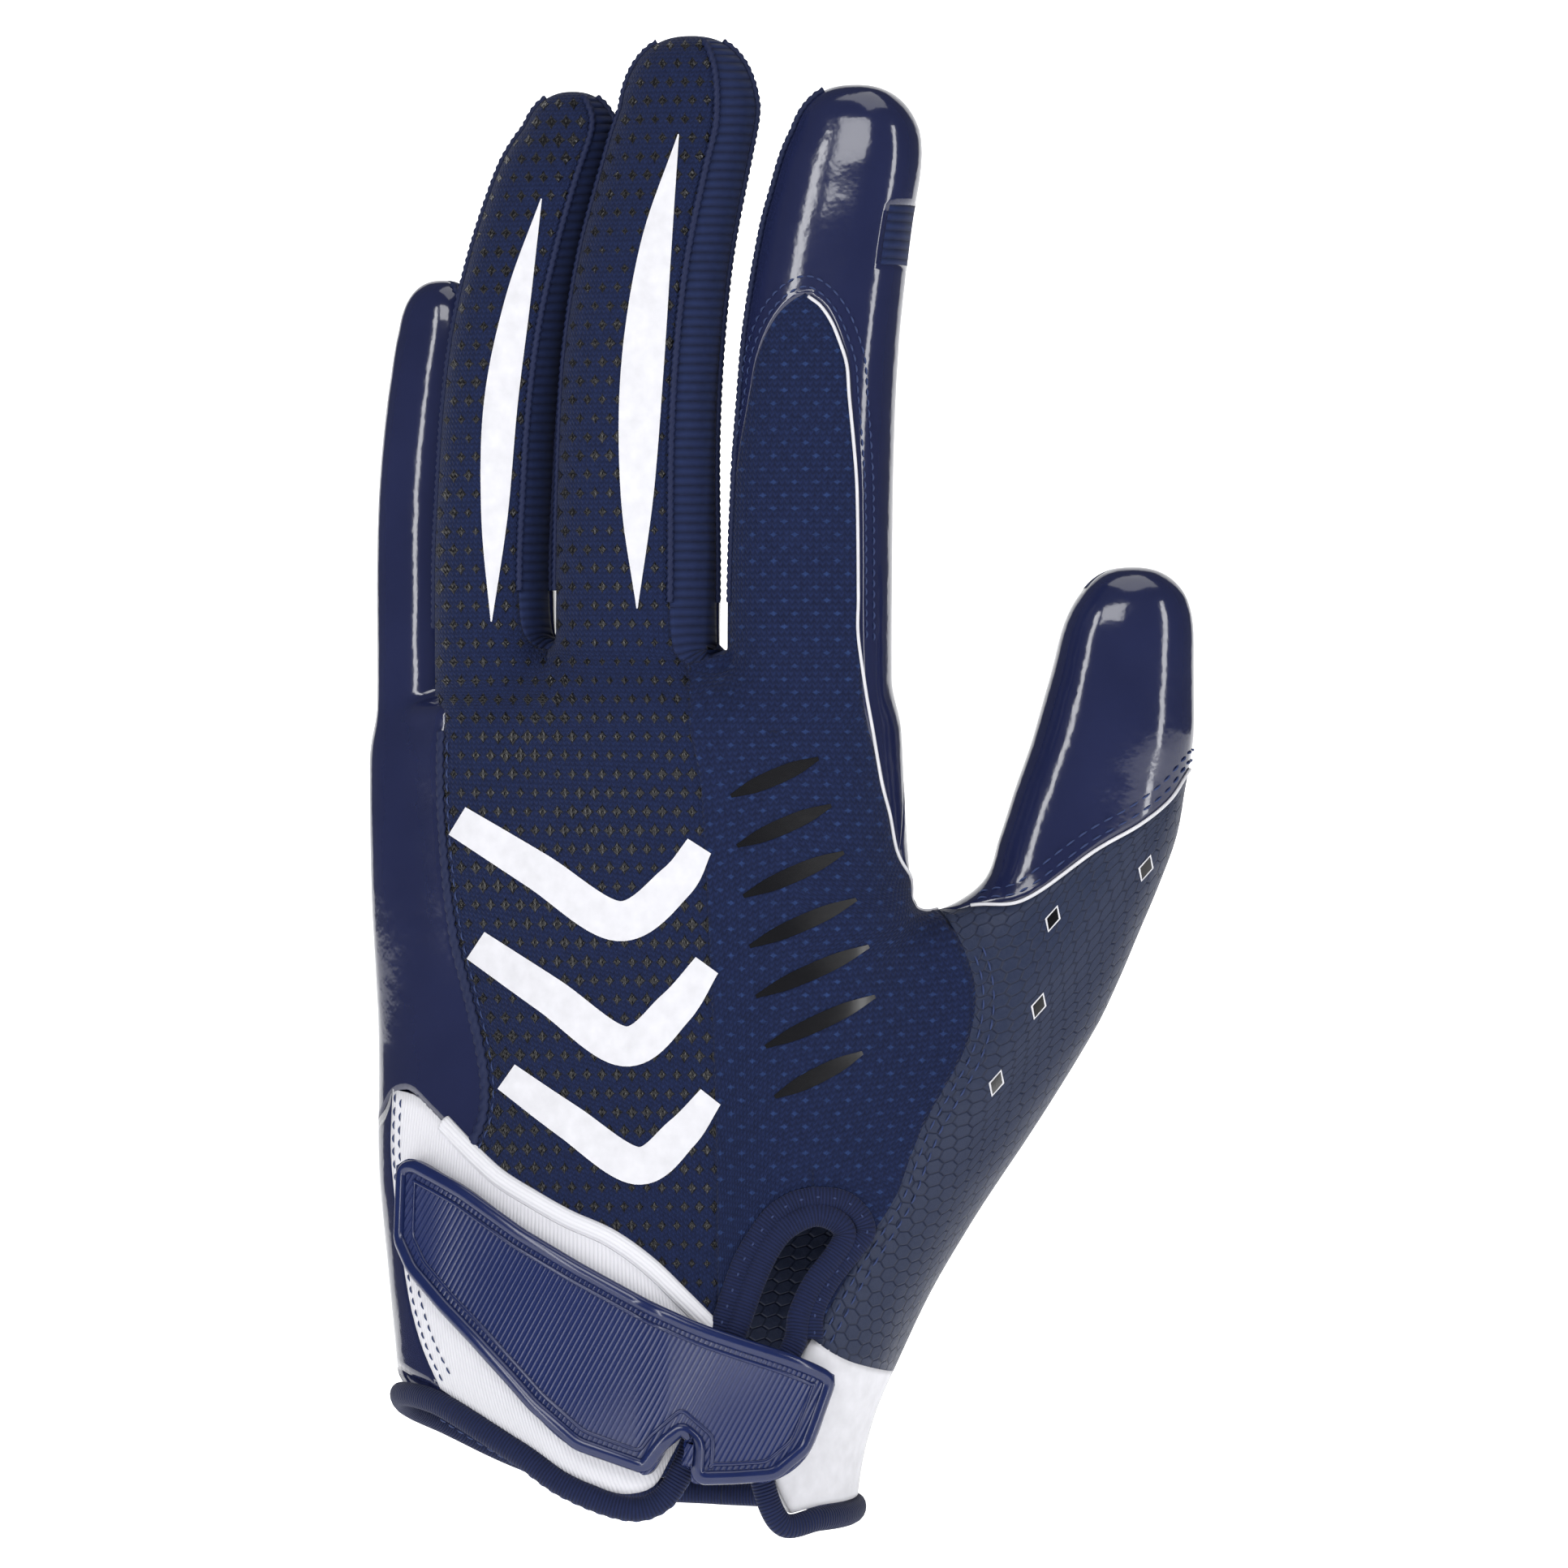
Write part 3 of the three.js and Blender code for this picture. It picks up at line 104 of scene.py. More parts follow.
THUMB = {"roll": 0, "tip": 136.9, "round": 14, "rows": table(SECTION, [
    [WRIST_Z, 8, 0.5, 24, 21], [0, 12, 0.8, 24, 21.5], [15.6, 20, 2.5, 24, 20],
    [31.2, 30.5, 4.5, 24, 18], [46.8, 43.7, 6.5, 22, 16], [62.4, 55.6, 8, 20, 14.2],
    [70, 60.3, 8.3, 19, 13.6], [78, 66.2, 8.5, 16.5, 12.8], [85.8, 72.3, 8.5, 13.7, 12.2],
    [93.6, 75, 8.3, 13.8, 11.8], [101.4, 76.8, 8, 13.4, 11.4], [109.2, 78.7, 7.6, 12.8, 11],
    [117, 79.7, 7.2, 11.9, 10.4], [124.8, 80.6, 6.8, 11, 9.7], [132.6, 81.6, 6.5, 10.6, 9.2]])}
FINGERS = [PINKIE, RING, MIDDLE, INDEX]
HAND = table(["z", "x", "y", "w", "d", "bend"], [
    [WRIST_Z, -1, 0, 33.4, 23.4, 0.1], [-8, -0.6, 0, 34.6, 23.2, 0.15], [0, 0, 0, 36, 23, 0.2],
    [10, 1, 0.2, 38, 22, 0.35], [25, 1.2, 0.3, 39.8, 19.8, 0.6], [40, 1.5, 0.4, 41.6, 18, 0.8],
    [55, 2.4, 0.4, 42.6, 16.4, 0.95], [70, 2.8, 0.3, 43.2, 15.2, 1], [83, 2.8, 0.2, 43.2, 14.4, 1],
    [95, 2.1, 0.1, 42.4, 13.8, 1], [110, 1.4, 0, 41.8, 13.4, 1]])
ARCH = {"level": 0.8, "slope": -0.33, "curve": 0.0045}
KNUCKLE_TOP = {"height": 124.5, "peak": -5, "fall": 0.012, "left": -30, "right": 12, "round": 12}
print("sections:", sum(len(f["rows"]["z"]) for f in FINGERS) + len(THUMB["rows"]["z"]) + len(HAND["z"]))

# %% [markdown]
# From the tables comes one number for any point in space: below zero inside the glove, above
# it outside. The glove's skin is where that number is zero. Fingers and hand are joined by a
# soft minimum, which rounds the valleys as stretched cloth does.

# %% The surface as a formula


def along(rows, name, z):
    """Cubic pieces through one column; the slope at a row is that of the line past it."""
    heights, values = rows["z"], rows[name]
    slopes = np.gradient(values)
    slopes[1:-1] = (values[2:] - values[:-2]) / (heights[2:] - heights[:-2])
    slopes[0] = (values[1] - values[0]) / (heights[1] - heights[0])
    slopes[-1] = (values[-1] - values[-2]) / (heights[-1] - heights[-2])
    z = np.clip(z, heights[0], heights[-1])
    i = np.clip(np.searchsorted(heights, z) - 1, 0, len(heights) - 2)
    span = heights[i + 1] - heights[i]
    t = (z - heights[i]) / span
    u = 1 - t
    ends = values[i] * u * u * (1 + 2 * t) + values[i + 1] * t * t * (3 - 2 * t)
    return ends + span * t * u * (slopes[i] * u - slopes[i + 1] * t)


def power(value):
    return np.abs(value) ** SECTION_POWER


def digit(chain, p):
    """Rounded section in the finger's own turned axes, closed by a dome at the tip."""
    rows, z = chain["rows"], p[..., 2]
    dx = p[..., 0] - along(rows, "x", z)
    dy = p[..., 1] - along(rows, "y", z)
    w, d = along(rows, "w", z), along(rows, "d", z)
    cos, sin = np.cos(np.radians(chain["roll"])), np.sin(np.radians(chain["roll"]))
    tip = np.maximum(0, (z - chain["tip"] + chain["round"]) / chain["round"])
    foot = 0 if chain is THUMB else np.maximum(0, (102 - z) / 42)
    g = power((dx * cos - dy * sin) / w) + power((dx * sin + dy * cos) / d)
    return ((g + power(tip) + power(foot)) ** (1 / SECTION_POWER) - 1) * np.minimum(w, d)


def arch(x, z):
    """How far back the middle of the hand lies: a parabola across it, scaled by the bend."""
    return along(HAND, "bend", z) * (ARCH["level"] + ARCH["slope"] * x + ARCH["curve"] * x * x)


def hand(p):
    """The hand's rounded section about its arch, closed by a dome at the knuckles."""
    x, y, z = p[..., 0], p[..., 1], p[..., 2]
    across = np.clip(x, KNUCKLE_TOP["left"], KNUCKLE_TOP["right"])
    top = KNUCKLE_TOP["height"] - KNUCKLE_TOP["fall"] * (across - KNUCKLE_TOP["peak"]) ** 2
    w, d = along(HAND, "w", z), along(HAND, "d", z)
    tip = np.maximum(0, (z - top + KNUCKLE_TOP["round"]) / KNUCKLE_TOP["round"])
    g = power((x - along(HAND, "x", z)) / w) + power((y - along(HAND, "y", z) - arch(x, z)) / d)
    return ((g + power(tip)) ** (1 / SECTION_POWER) - 1) * np.minimum(w, d)


def blend(a, b, radius):
    """Soft minimum: the smaller value, less a little where the two are close."""
    h = np.maximum(radius - np.abs(a - b), 0) / radius
    return np.minimum(a, b) - h * h * radius / 4


def glove(p):
    fingers = np.min([digit(finger, p) for finger in FINGERS], axis=0)
    return blend(blend(hand(p), digit(THUMB, p), THUMB_BLEND), fingers, FINGER_BLEND)


def slope(p):
    """How the number grows along x, y and z, from points a little to each side."""
    step = 0.05 * np.eye(3)
    return np.stack([(glove(p + s) - glove(p - s)) / 0.1 for s in step], axis=-1)


def unit(v):
    return v / np.maximum(np.linalg.norm(v, axis=-1, keepdims=True), 1e-9)


def settle(p, rounds=8):
    """Moves points that are near the skin onto it, down the slope."""
    p = np.array(p, dtype=float)
    for _ in range(rounds):
        s = slope(p)
        move = -s * (glove(p) / np.maximum((s * s).sum(-1), 1e-6))[..., None]
        length = np.linalg.norm(move, axis=-1, keepdims=True)
        p += move * np.minimum(1, 3 / np.maximum(length, 1e-9))
    return p


def leave(start, direction):
    """Where straight lines from inside first leave the glove: millimetre steps, then halving."""
    start, direction = np.broadcast_arrays(np.array(start, float), np.array(direction, float))
    low = np.zeros(start.shape[:-1])
    going = np.ones(start.shape[:-1], dtype=bool)
    for k in range(1, 90):
        going &= glove(start + direction * k) < 0
        low[going] = k
    high = low + 1
    for _ in range(16):
        middle = (low + high) / 2
        inside = glove(start + direction * middle[..., None]) < 0
        low, high = np.where(inside, middle, low), np.where(inside, high, middle)
    return start + direction * low[..., None]


BACK = np.array([0.0, -1, 0])
PALM = np.array([0.0, 1, 0])


def on_side(xz, side):
    xz = np.array(xz, dtype=float)
    x, z = xz[..., 0], xz[..., 1]
    inner = np.where((x > 46) & (z < 88), along(THUMB["rows"], "y", z), arch(x, z))
    return leave(np.stack([x, inner, z], axis=-1), side)


def on_back(xz):
    return on_side(xz, BACK)


def on_palm(xz):
    return on_side(xz, PALM)


def soft(value):
    return np.sign(value) * np.abs(value) ** (2 / SECTION_POWER)


def digit_point(chain, angle, z, rise=0.0):
    """A point of a digit by its angle (0 back, 90 thumb side, 180 palm), height and dome."""
    turn = np.radians(angle)
    rise = np.asarray(rise, dtype=float)
    dome = chain["tip"] - chain["round"] * (1 - soft(np.sin(rise * np.pi / 2)))
    height = np.where(rise > 0, dome, z)
    shrink = np.where(rise > 0, soft(np.maximum(np.cos(rise * np.pi / 2), 0)), 1)
    rows = chain["rows"]
    a = along(rows, "w", height) * shrink * soft(np.sin(turn))
    b = -along(rows, "d", height) * shrink * soft(np.cos(turn))
    cos, sin = np.cos(np.radians(chain["roll"])), np.sin(np.radians(chain["roll"]))
    x = along(rows, "x", height) + a * cos + b * sin
    y = along(rows, "y", height) - a * sin + b * cos
    return np.stack(np.broadcast_arrays(x, y, height), axis=-1)


print("depth at the palm's middle:", round(float(glove(np.array([0.0, 4, 60]))), 2), "mm")

# %% [markdown]
# Panels are four-sided grids. Their edges are seams, and the inside is filled by mixing the
# edges and laying the result on the skin. The same edge is used by both neighbours, so no
# light shows through. A last step adds finer points between, for a smooth sheet.

# %% Curves and grids on the skin


def mix(a, b, t):
    return a + (b - a) * t


def curve_on(points, count, settled=True):
    """Evenly spaced points on a curve whose slope at each given point follows its neighbours."""
    points = np.array(points, dtype=float)
    gaps = np.maximum(np.linalg.norm(np.diff(points, axis=0), axis=1), 1e-6) ** 0.5
    times = np.concatenate([[0], np.cumsum(gaps)])
    rows = {"z": times, **{str(k): points[:, k] for k in range(3)}}
    fine = np.linspace(0, times[-1], 40 * len(points))
    path = np.stack([along(rows, str(k), fine) for k in range(3)], axis=-1)
    length = np.concatenate([[0], np.cumsum(np.linalg.norm(np.diff(path, axis=0), axis=1))])
    at = np.linspace(0, length[-1], count + 1)
    even = np.stack([np.interp(at, length, path[:, k]) for k in range(3)], axis=-1)
    even[0], even[-1] = points[0], points[-1]
    if settled:
        even[1:-1] = settle(even[1:-1])
    return even


def sheet(bottom, top, left, right):
    """Mixes bottom and top, adds left and right, and takes away the mix of the corners."""
    u = np.linspace(0, 1, len(bottom))[None, :, None]
    v = np.linspace(0, 1, len(left))[:, None, None]
    grid = mix(bottom[None], top[None], v) + mix(left[:, None], right[:, None], u)
    grid -= mix(mix(bottom[0], bottom[-1], u), mix(top[0], top[-1], u), v)
    grid[1:-1, 1:-1] = settle(grid[1:-1, 1:-1])
    grid[:, 0], grid[:, -1], grid[0], grid[-1] = left, right, bottom, top
    return grid


def finer(grid, parts):
    """More points between each two, on cubics whose slopes are half the step past a point."""
    for axis in (0, 1):
        g = np.moveaxis(grid, axis, 0)
        ends = np.concatenate([2 * g[:1] - g[1:2], g, 2 * g[-1:] - g[-2:-1]])
        t = (np.arange(parts) / parts)[:, None, None, None]
        a, b, c, d = ends[:-3], ends[1:-2], ends[2:-1], ends[3:]
        cubic = 2 * b + (c - a) * t + (2 * a - 5 * b + 4 * c - d) * t**2 + (3 * b - a - 3 * c + d) * t**3
        between_points = (cubic / 2).transpose(1, 0, 2, 3).reshape(-1, *g.shape[1:])
        grid = np.moveaxis(np.concatenate([between_points, g[-1:]]), 0, axis)
    return grid


def laid(grid, parts):
    """The finer grid, drawn onto the skin where it is close to it already."""
    fine = finer(grid, parts)
    near = np.clip((1.6 - np.abs(glove(fine))) / 0.8, 0, 1)[..., None]
    return mix(fine, settle(fine, 4), near)


def smooth(t):
    s = np.clip(t, 0, 1)
    return s * s * (3 - 2 * s)


def quarter(t):
    s = np.clip(t, 0, 1)
    return np.sqrt(1 - (1 - s) ** 2)


print("a curve of 5 points:", curve_on(on_back([[0, 20], [0, 60]]), 4).shape)

# %% [markdown]
# The seams are short lists of points in x and z, drawn onto the back or the palm. Neighbours
# use the same seam, so it is worked out once and kept by name.

# %% Seams of the hand
CROTCH = {
    "pinkie_ring": {"z": 117, "back": -29.3, "palm": -23},
    "ring_middle": {"z": 123.5, "back": -12.4, "palm": -8},
    "middle_index": {"z": 121.2, "back": 10.4, "palm": 16.5},
}
LEVELS = [KNUCKLE_Z, 114, 117, 119, 121.2, 123.5, 126, 130]
ARCH_LEVELS = [136, 142.5, 149, 155, 160.5, 165.5, 170, 174, 177, 179, 180.4]
ABOVE_ARCH = [180.8, 182, 185, 190, 194.6]
DOME_STEPS = [0.3, 0.56, 0.8, 1]
FINGER_STEP = 9.5
PINKIE_EDGE = 64
RING_EDGES = (-68, 48)
MIDDLE_EDGES = (-72, 37)
INDEX_EDGE = -58
SEAMS = {
    "pinkie_back": [[-24.7, 42.9], [-22.8, 46.8], [-22.1, 54.6], [-24.1, 65], [-27.3, 78],
                    [-29.3, 97.5], [-29.3, KNUCKLE_Z]],
    "ring_middle": [[-9.1, 32.5], [-10.4, 71.5], [-12.4, KNUCKLE_Z]],
    "middle_index": [[15, 14.3], [14.3, 58.5], [12, 104], [10.4, KNUCKLE_Z]],
    "vent_top": [[30.3, 36], [29, 70], [25, KNUCKLE_Z]],
    "cuff_ring": [[-24.7, 42.9], [-19.5, 38.4], [-9.1, 32.5]],
    "cuff_middle": [[-9.1, 32.5], [1.3, 27.3], [15, 14.3]],
    "vent_left": [[15, 14.3], [18.7, 25.1], [21.2, 29.6], [23.7, 33], [27, 35.2], [30.3, 36]],
    "vent_right": [[30.3, 36], [34.5, 35.5], [37.3, 33.4], [38.4, 30.4], [36.5, 27.6],
                   [32.8, 23], [30.3, 18.1], [30, 13.5]],
    "leather_back": [[30, 13.5], [37.7, 27.3], [42.9, 35.1], [47.5, 46.8], [54.6, 59.8],
                     [56.2, 68], [54.5, 75]],
    "leather_palm": [[18, 9], [20, 30], [26, 50], [36, 68], [45, 79]],
    "pinkie_palm": [[-22, 30], [-22.4, 70], [-23, KNUCKLE_Z]],
    "palm_cuff": [[-22, 30], [-10, 26], [5, 19], [18, 9]],
    "cuff_low": [[-29.5, 5.2], [-16.9, -2.6], [-9.1, -7.8], [0.7, -11.2], [4.5, -10],
                 [7.1, -5.9], [9.8, -0.7]],
    "cuff_right": [[9.8, -0.7], [12.4, 6], [15, 14.3]],
    "side_front": [[-29.5, 5.2], [-34, 16], [-36.5, 30], [-38, 45], [-37.7, 52.7]],
    "tab_left": [[26.7, -14.3], [24, -8.5], [23.2, -2], [25.5, 6], [30, 13.5]],
}


def seam(name, side, count):
    return curve_on(on_side(SEAMS[name], side), count)


def by_height(points, count):
    """The same curve in steps of equal height."""
    path = curve_on(points, 300, settled=False)
    at = np.linspace(path[0, 2], path[-1, 2], count + 1)
    order = np.maximum.accumulate(path[:, 2])
    even = np.stack([np.interp(at, order, path[:, k]) for k in range(3)], axis=-1)
    even[1:-1] = settle(even[1:-1])
    even[0], even[-1] = points[0], points[-1]
    return even


def level_row(start, end, side, columns):
    x = np.linspace(start, end, columns + 1)
    return on_side(np.stack([x, np.full_like(x, KNUCKLE_Z)], axis=-1), side)


def outer_edge(z):
    return leave([-28, arch(-28, z), z], [-1, 0, 0])


def wrist_side(angle, z):
    turn = np.radians(angle)
    return leave([10, 0, z], [np.sin(turn), -np.cos(turn), 0])


def hand_side(angle, z):
    angle, z = np.broadcast_arrays(np.asarray(angle, float), np.asarray(z, float))
    turn = np.radians(angle - INDEX["roll"])
    start = np.stack([np.full(z.shape, 30.0), np.full(z.shape, -5.0), z], axis=-1)
    way = np.stack([np.sin(turn), -np.cos(turn), np.zeros(z.shape)], axis=-1)
    return leave(start, way)


WEB = leave([50, 2, 62], [0, 0, 1])
SIDE_TOP_Z = 90.4
SIDE_TOP = hand_side(84, SIDE_TOP_Z)
WEB_RISE = curve_on([WEB, SIDE_TOP], 2)
HAND_ROWS = 12
LINE = {
    "pinkie": seam("pinkie_back", BACK, HAND_ROWS),
    "ring_middle": seam("ring_middle", BACK, HAND_ROWS),
    "middle_index": seam("middle_index", BACK, HAND_ROWS),
    "vent": seam("vent_top", BACK, HAND_ROWS),
    "vent_right": seam("vent_right", BACK, 5),
    "leather_back": by_height([*on_back(SEAMS["leather_back"]), WEB], 12),
    "leather_palm": by_height([*on_palm(SEAMS["leather_palm"]), WEB], 12),
}
MESH_ARCH = table(["z", "left", "right"], [
    [110.5, -58, 56], [123.5, -58, 50], [150, -56, 45], [163.8, -41, 35],
    [169, -37, 31], [175.5, -24, 17], [178.5, -13, 7], [180.4, -2, -2]])


def side_line(angle):
    t = np.linspace(0, 1, 4)
    return hand_side(mix(84, angle, t), mix(SIDE_TOP_Z, KNUCKLE_Z, t))


MESH_RIGHT = np.concatenate([LINE["leather_back"], WEB_RISE[1:], side_line(56)[1:]])
INDEX_COLUMNS = 9
INDEX_SIDE = 3
INDEX_PALM = 110


def index_base():
    """The index finger's base row: round its thumb side, then across the palm."""
    turn = hand_side(np.linspace(56, INDEX_PALM, INDEX_SIDE + 1), KNUCKLE_Z)
    end = level_row(CROTCH["middle_index"]["palm"], CROTCH["middle_index"]["palm"], PALM, 0)[0]
    flat = level_row(turn[-1][0], end[0], PALM, INDEX_COLUMNS - INDEX_SIDE)
    return np.concatenate([turn, flat[1:]])


INDEX_BASE = index_base()
print("web at", WEB.round(1), "mm")

# %% [markdown]
# A finger is sewn from a strip on its back, one on its palm and a side piece between two
# fingers that runs down one, round the crotch and up the other. Up to the crotch a strip
# shares its edge with its neighbour; above it the edge stays at one angle of the finger.

# %% Strips of the fingers


def climb(chain):
    start = chain["tip"] - chain["round"]
    steps = int(np.floor((start - LEVELS[-1]) / FINGER_STEP + 0.5))
    even = LEVELS[-1] + (start - LEVELS[-1]) * np.arange(1, steps + 1) / steps
    z = np.concatenate([LEVELS, even, np.full(4, start)])
    rise = np.concatenate([np.zeros(len(LEVELS) + steps), DOME_STEPS])
    return z, rise


def between(crotch, side, z):
    x = np.full(np.shape(z), crotch["back" if side is BACK else "palm"], dtype=float)
    return on_side(np.stack([x, np.minimum(z, crotch["z"])], axis=-1), side)


def strip_edge(chain, angle, crotch, side, z, rise):
    """On the shared line up to the crotch, then by a quarter circle onto the finger."""
    shared = between(crotch, side, z)
    on_finger = digit_point(chain, angle, z, rise)
    t = quarter((z - crotch["z"]) / CROTCH_RADIUS)[:, None]
    return np.where((z <= crotch["z"])[:, None], shared, mix(shared, on_finger, t))


def strip(chain, angles, crotches, side, columns, base):
    """From the hand's shape at the knuckles to the finger's own, between two edges."""
    z, rise = climb(chain)
    top = CROTCH["ring_middle"]["z"] + CROTCH_RADIUS
    first = strip_edge(chain, angles[0], crotches[0], side, z, rise)
    last = strip_edge(chain, angles[1], crotches[1], side, z, rise)
    t = np.linspace(0, 1, columns + 1)
    on_finger = digit_point(chain, mix(angles[0], angles[1], t)[None], z[:, None], rise[:, None])
    straight = mix(first[:, None], last[:, None], t[None, :, None])
    low = z < CROTCH["pinkie_ring"]["z"]
    on_hand = straight.copy()
    level = np.repeat(z[low][:, None], columns + 1, 1)
    on_hand[low] = on_side(np.stack([straight[low][..., 0], level], -1), side)
    share = smooth((z - KNUCKLE_Z) / (top - KNUCKLE_Z)) ** 0.5
    grid = mix(on_hand, on_finger, share[:, None, None])
    under = z < top
    grid[under] = settle(grid[under])
    grid[~under] = on_finger[~under]
    grid[:, 0], grid[:, -1], grid[0] = first, last, base
    return grid


def index_mesh(base):
    """The index finger's knit from the knuckles to the arch under the fingertip."""
    heights = np.array(LEVELS + ARCH_LEVELS)
    left, right = along(MESH_ARCH, "left", heights), along(MESH_ARCH, "right", heights)
    t = np.linspace(0, 1, len(base))
    crotch = CROTCH["middle_index"]
    top = crotch["z"] + CROTCH_RADIUS
    on_finger = digit_point(INDEX, mix(left[:, None], right[:, None], t[None]), heights[:, None])
    first = strip_edge(INDEX, INDEX_EDGE, crotch, BACK, heights, np.zeros(len(heights)))
    last = settle(digit_point(INDEX, right, heights))
    x = mix(first[:, None, 0], last[:, None, 0], t[None])
    low = np.repeat(np.minimum(heights, crotch["z"])[:, None], len(t), 1)
    on_hand = on_back(np.stack([x, low], -1))
    on_hand[..., 2] = heights[:, None]
    share = smooth((heights - KNUCKLE_Z) / (top - KNUCKLE_Z)) ** 0.5
    grid = settle(mix(on_hand, on_finger, share[:, None, None]))
    grid[heights >= top] = on_finger[heights >= top]
    grid[:, -1] = last
    under = heights < 140
    grid[under, 0] = first[under]
    grid[0] = base
    return grid


def back_grids():
    """Three sheets up to the knuckles and one beside the slit, then a strip for each finger."""
    ring_row, middle_row = level_row(-29.3, -12.4, BACK, 4), level_row(-12.4, 10.4, BACK, 5)
    ring = sheet(seam("cuff_ring", BACK, 4), ring_row, LINE["pinkie"], LINE["ring_middle"])
    middle = sheet(seam("cuff_middle", BACK, 5), middle_row, LINE["ring_middle"], LINE["middle_index"])
    index_row = level_row(10.4, 25, BACK, 5)
    left = sheet(seam("vent_left", BACK, 5), index_row, LINE["middle_index"], LINE["vent"])
    vent_side = np.concatenate([LINE["vent_right"][::-1], LINE["vent"][1:]])
    row = level_row(25, INDEX_BASE[0][0], BACK, 4)
    row[-1] = INDEX_BASE[0]
    right = sheet(np.repeat(vent_side[:1], 5, axis=0), row, vent_side, MESH_RIGHT)
    beside_ring = [CROTCH["pinkie_ring"], CROTCH["ring_middle"]]
    ring_strip = strip(RING, RING_EDGES, beside_ring, BACK, 4, ring[-1])
    beside_middle = [CROTCH["ring_middle"], CROTCH["middle_index"]]
    middle_strip = strip(MIDDLE, MIDDLE_EDGES, beside_middle, BACK, 5, middle[-1])
    index_grid = index_mesh(np.concatenate([left[-1], right[-1][1:]]))
    return [ring, middle, ring_strip, middle_strip], [left, right, index_grid]


def fourchette(crotch, left, right, columns=3):
    """Down one finger, round the crotch and up the next, with a quarter-round foot."""
    back = between(crotch, BACK, np.array([crotch["z"]]))[0]
    palm = between(crotch, PALM, np.array([crotch["z"]]))[0]
    t = np.linspace(0, 1, columns + 1)
    foot = mix(back, palm, t[:, None])
    foot[:, 2] += 2.5 * np.sin(np.pi * t)
    foot[1:-1] = settle(foot[1:-1])
    sides = []
    for chain, angle_back, angle_palm in (left, right):
        z, rise = climb(chain)
        keep = z > crotch["z"]
        z, rise = z[keep], rise[keep]
        on_finger = digit_point(chain, mix(angle_back, angle_palm, t)[None], z[:, None], rise[:, None])
        up = quarter((z - crotch["z"]) / CROTCH_RADIUS)[:, None, None]
        sides.append(mix(foot[None], on_finger, up))
    return np.concatenate([sides[0][::-1], foot[None], sides[1]])


BACK_GRIDS, MESH_GRIDS = back_grids()
FOURCHETTES = {
    "fourchette_pinkie_ring": fourchette(
        CROTCH["pinkie_ring"], (PINKIE, PINKIE_EDGE, 120), (RING, RING_EDGES[0], -102)),
    "fourchette_ring_middle": fourchette(
        CROTCH["ring_middle"], (RING, RING_EDGES[1], 92), (MIDDLE, MIDDLE_EDGES[0], -102)),
    "fourchette_middle_index": fourchette(
        CROTCH["middle_index"], (MIDDLE, MIDDLE_EDGES[1], 92), (INDEX, INDEX_EDGE, -118)),
}
print("back grids:", [g.shape[:2] for g in BACK_GRIDS + MESH_GRIDS])

# %% [markdown]
# The gloss film wraps the little finger and the index from the side, and the thumb all round.
# The leather fills the space between the thumb, the back, the cuff and the palm.

# %% Gloss panels, leather and palm
PINKIE_CUFF = curve_on([*on_back([[-24.7, 42.9], [-29.9, 48.1], [-35.1, 52.7], [-37.7, 52.7]]),
                        outer_edge(50), *on_palm([[-36, 44], [-30, 37], [-22, 30]])], 10)


def pinkie_grids():
    """The hand's outer edge, then the finger: angles spread from the hand's to the strip's."""
    columns = 10
    t = np.arange(columns + 1)
    low = mix(0, -180, (t - 0.5) / (columns - 1))
    base = settle(digit_point(PINKIE, low, KNUCKLE_Z))
    base[0] = level_row(-29.3, -29.3, BACK, 0)[0]
    base[-1] = level_row(-23, -23, PALM, 0)[0]
    z, rise = climb(PINKIE)
    spread = smooth((z - KNUCKLE_Z) / (117 + CROTCH_RADIUS - KNUCKLE_Z))[:, None]
    high = mix(PINKIE_EDGE, -240, t / columns)
    angle = mix(low[None], high[None], spread)
    finger = settle(digit_point(PINKIE, angle, z[:, None], rise[:, None]))
    finger[:, 0] = strip_edge(PINKIE, PINKIE_EDGE, CROTCH["pinkie_ring"], BACK, z, rise)
    finger[:, -1] = strip_edge(PINKIE, -240, CROTCH["pinkie_ring"], PALM, z, rise)
    finger[0] = base
    edge = sheet(PINKIE_CUFF, base, LINE["pinkie"], seam("pinkie_palm", PALM, HAND_ROWS))
    return [edge, finger]


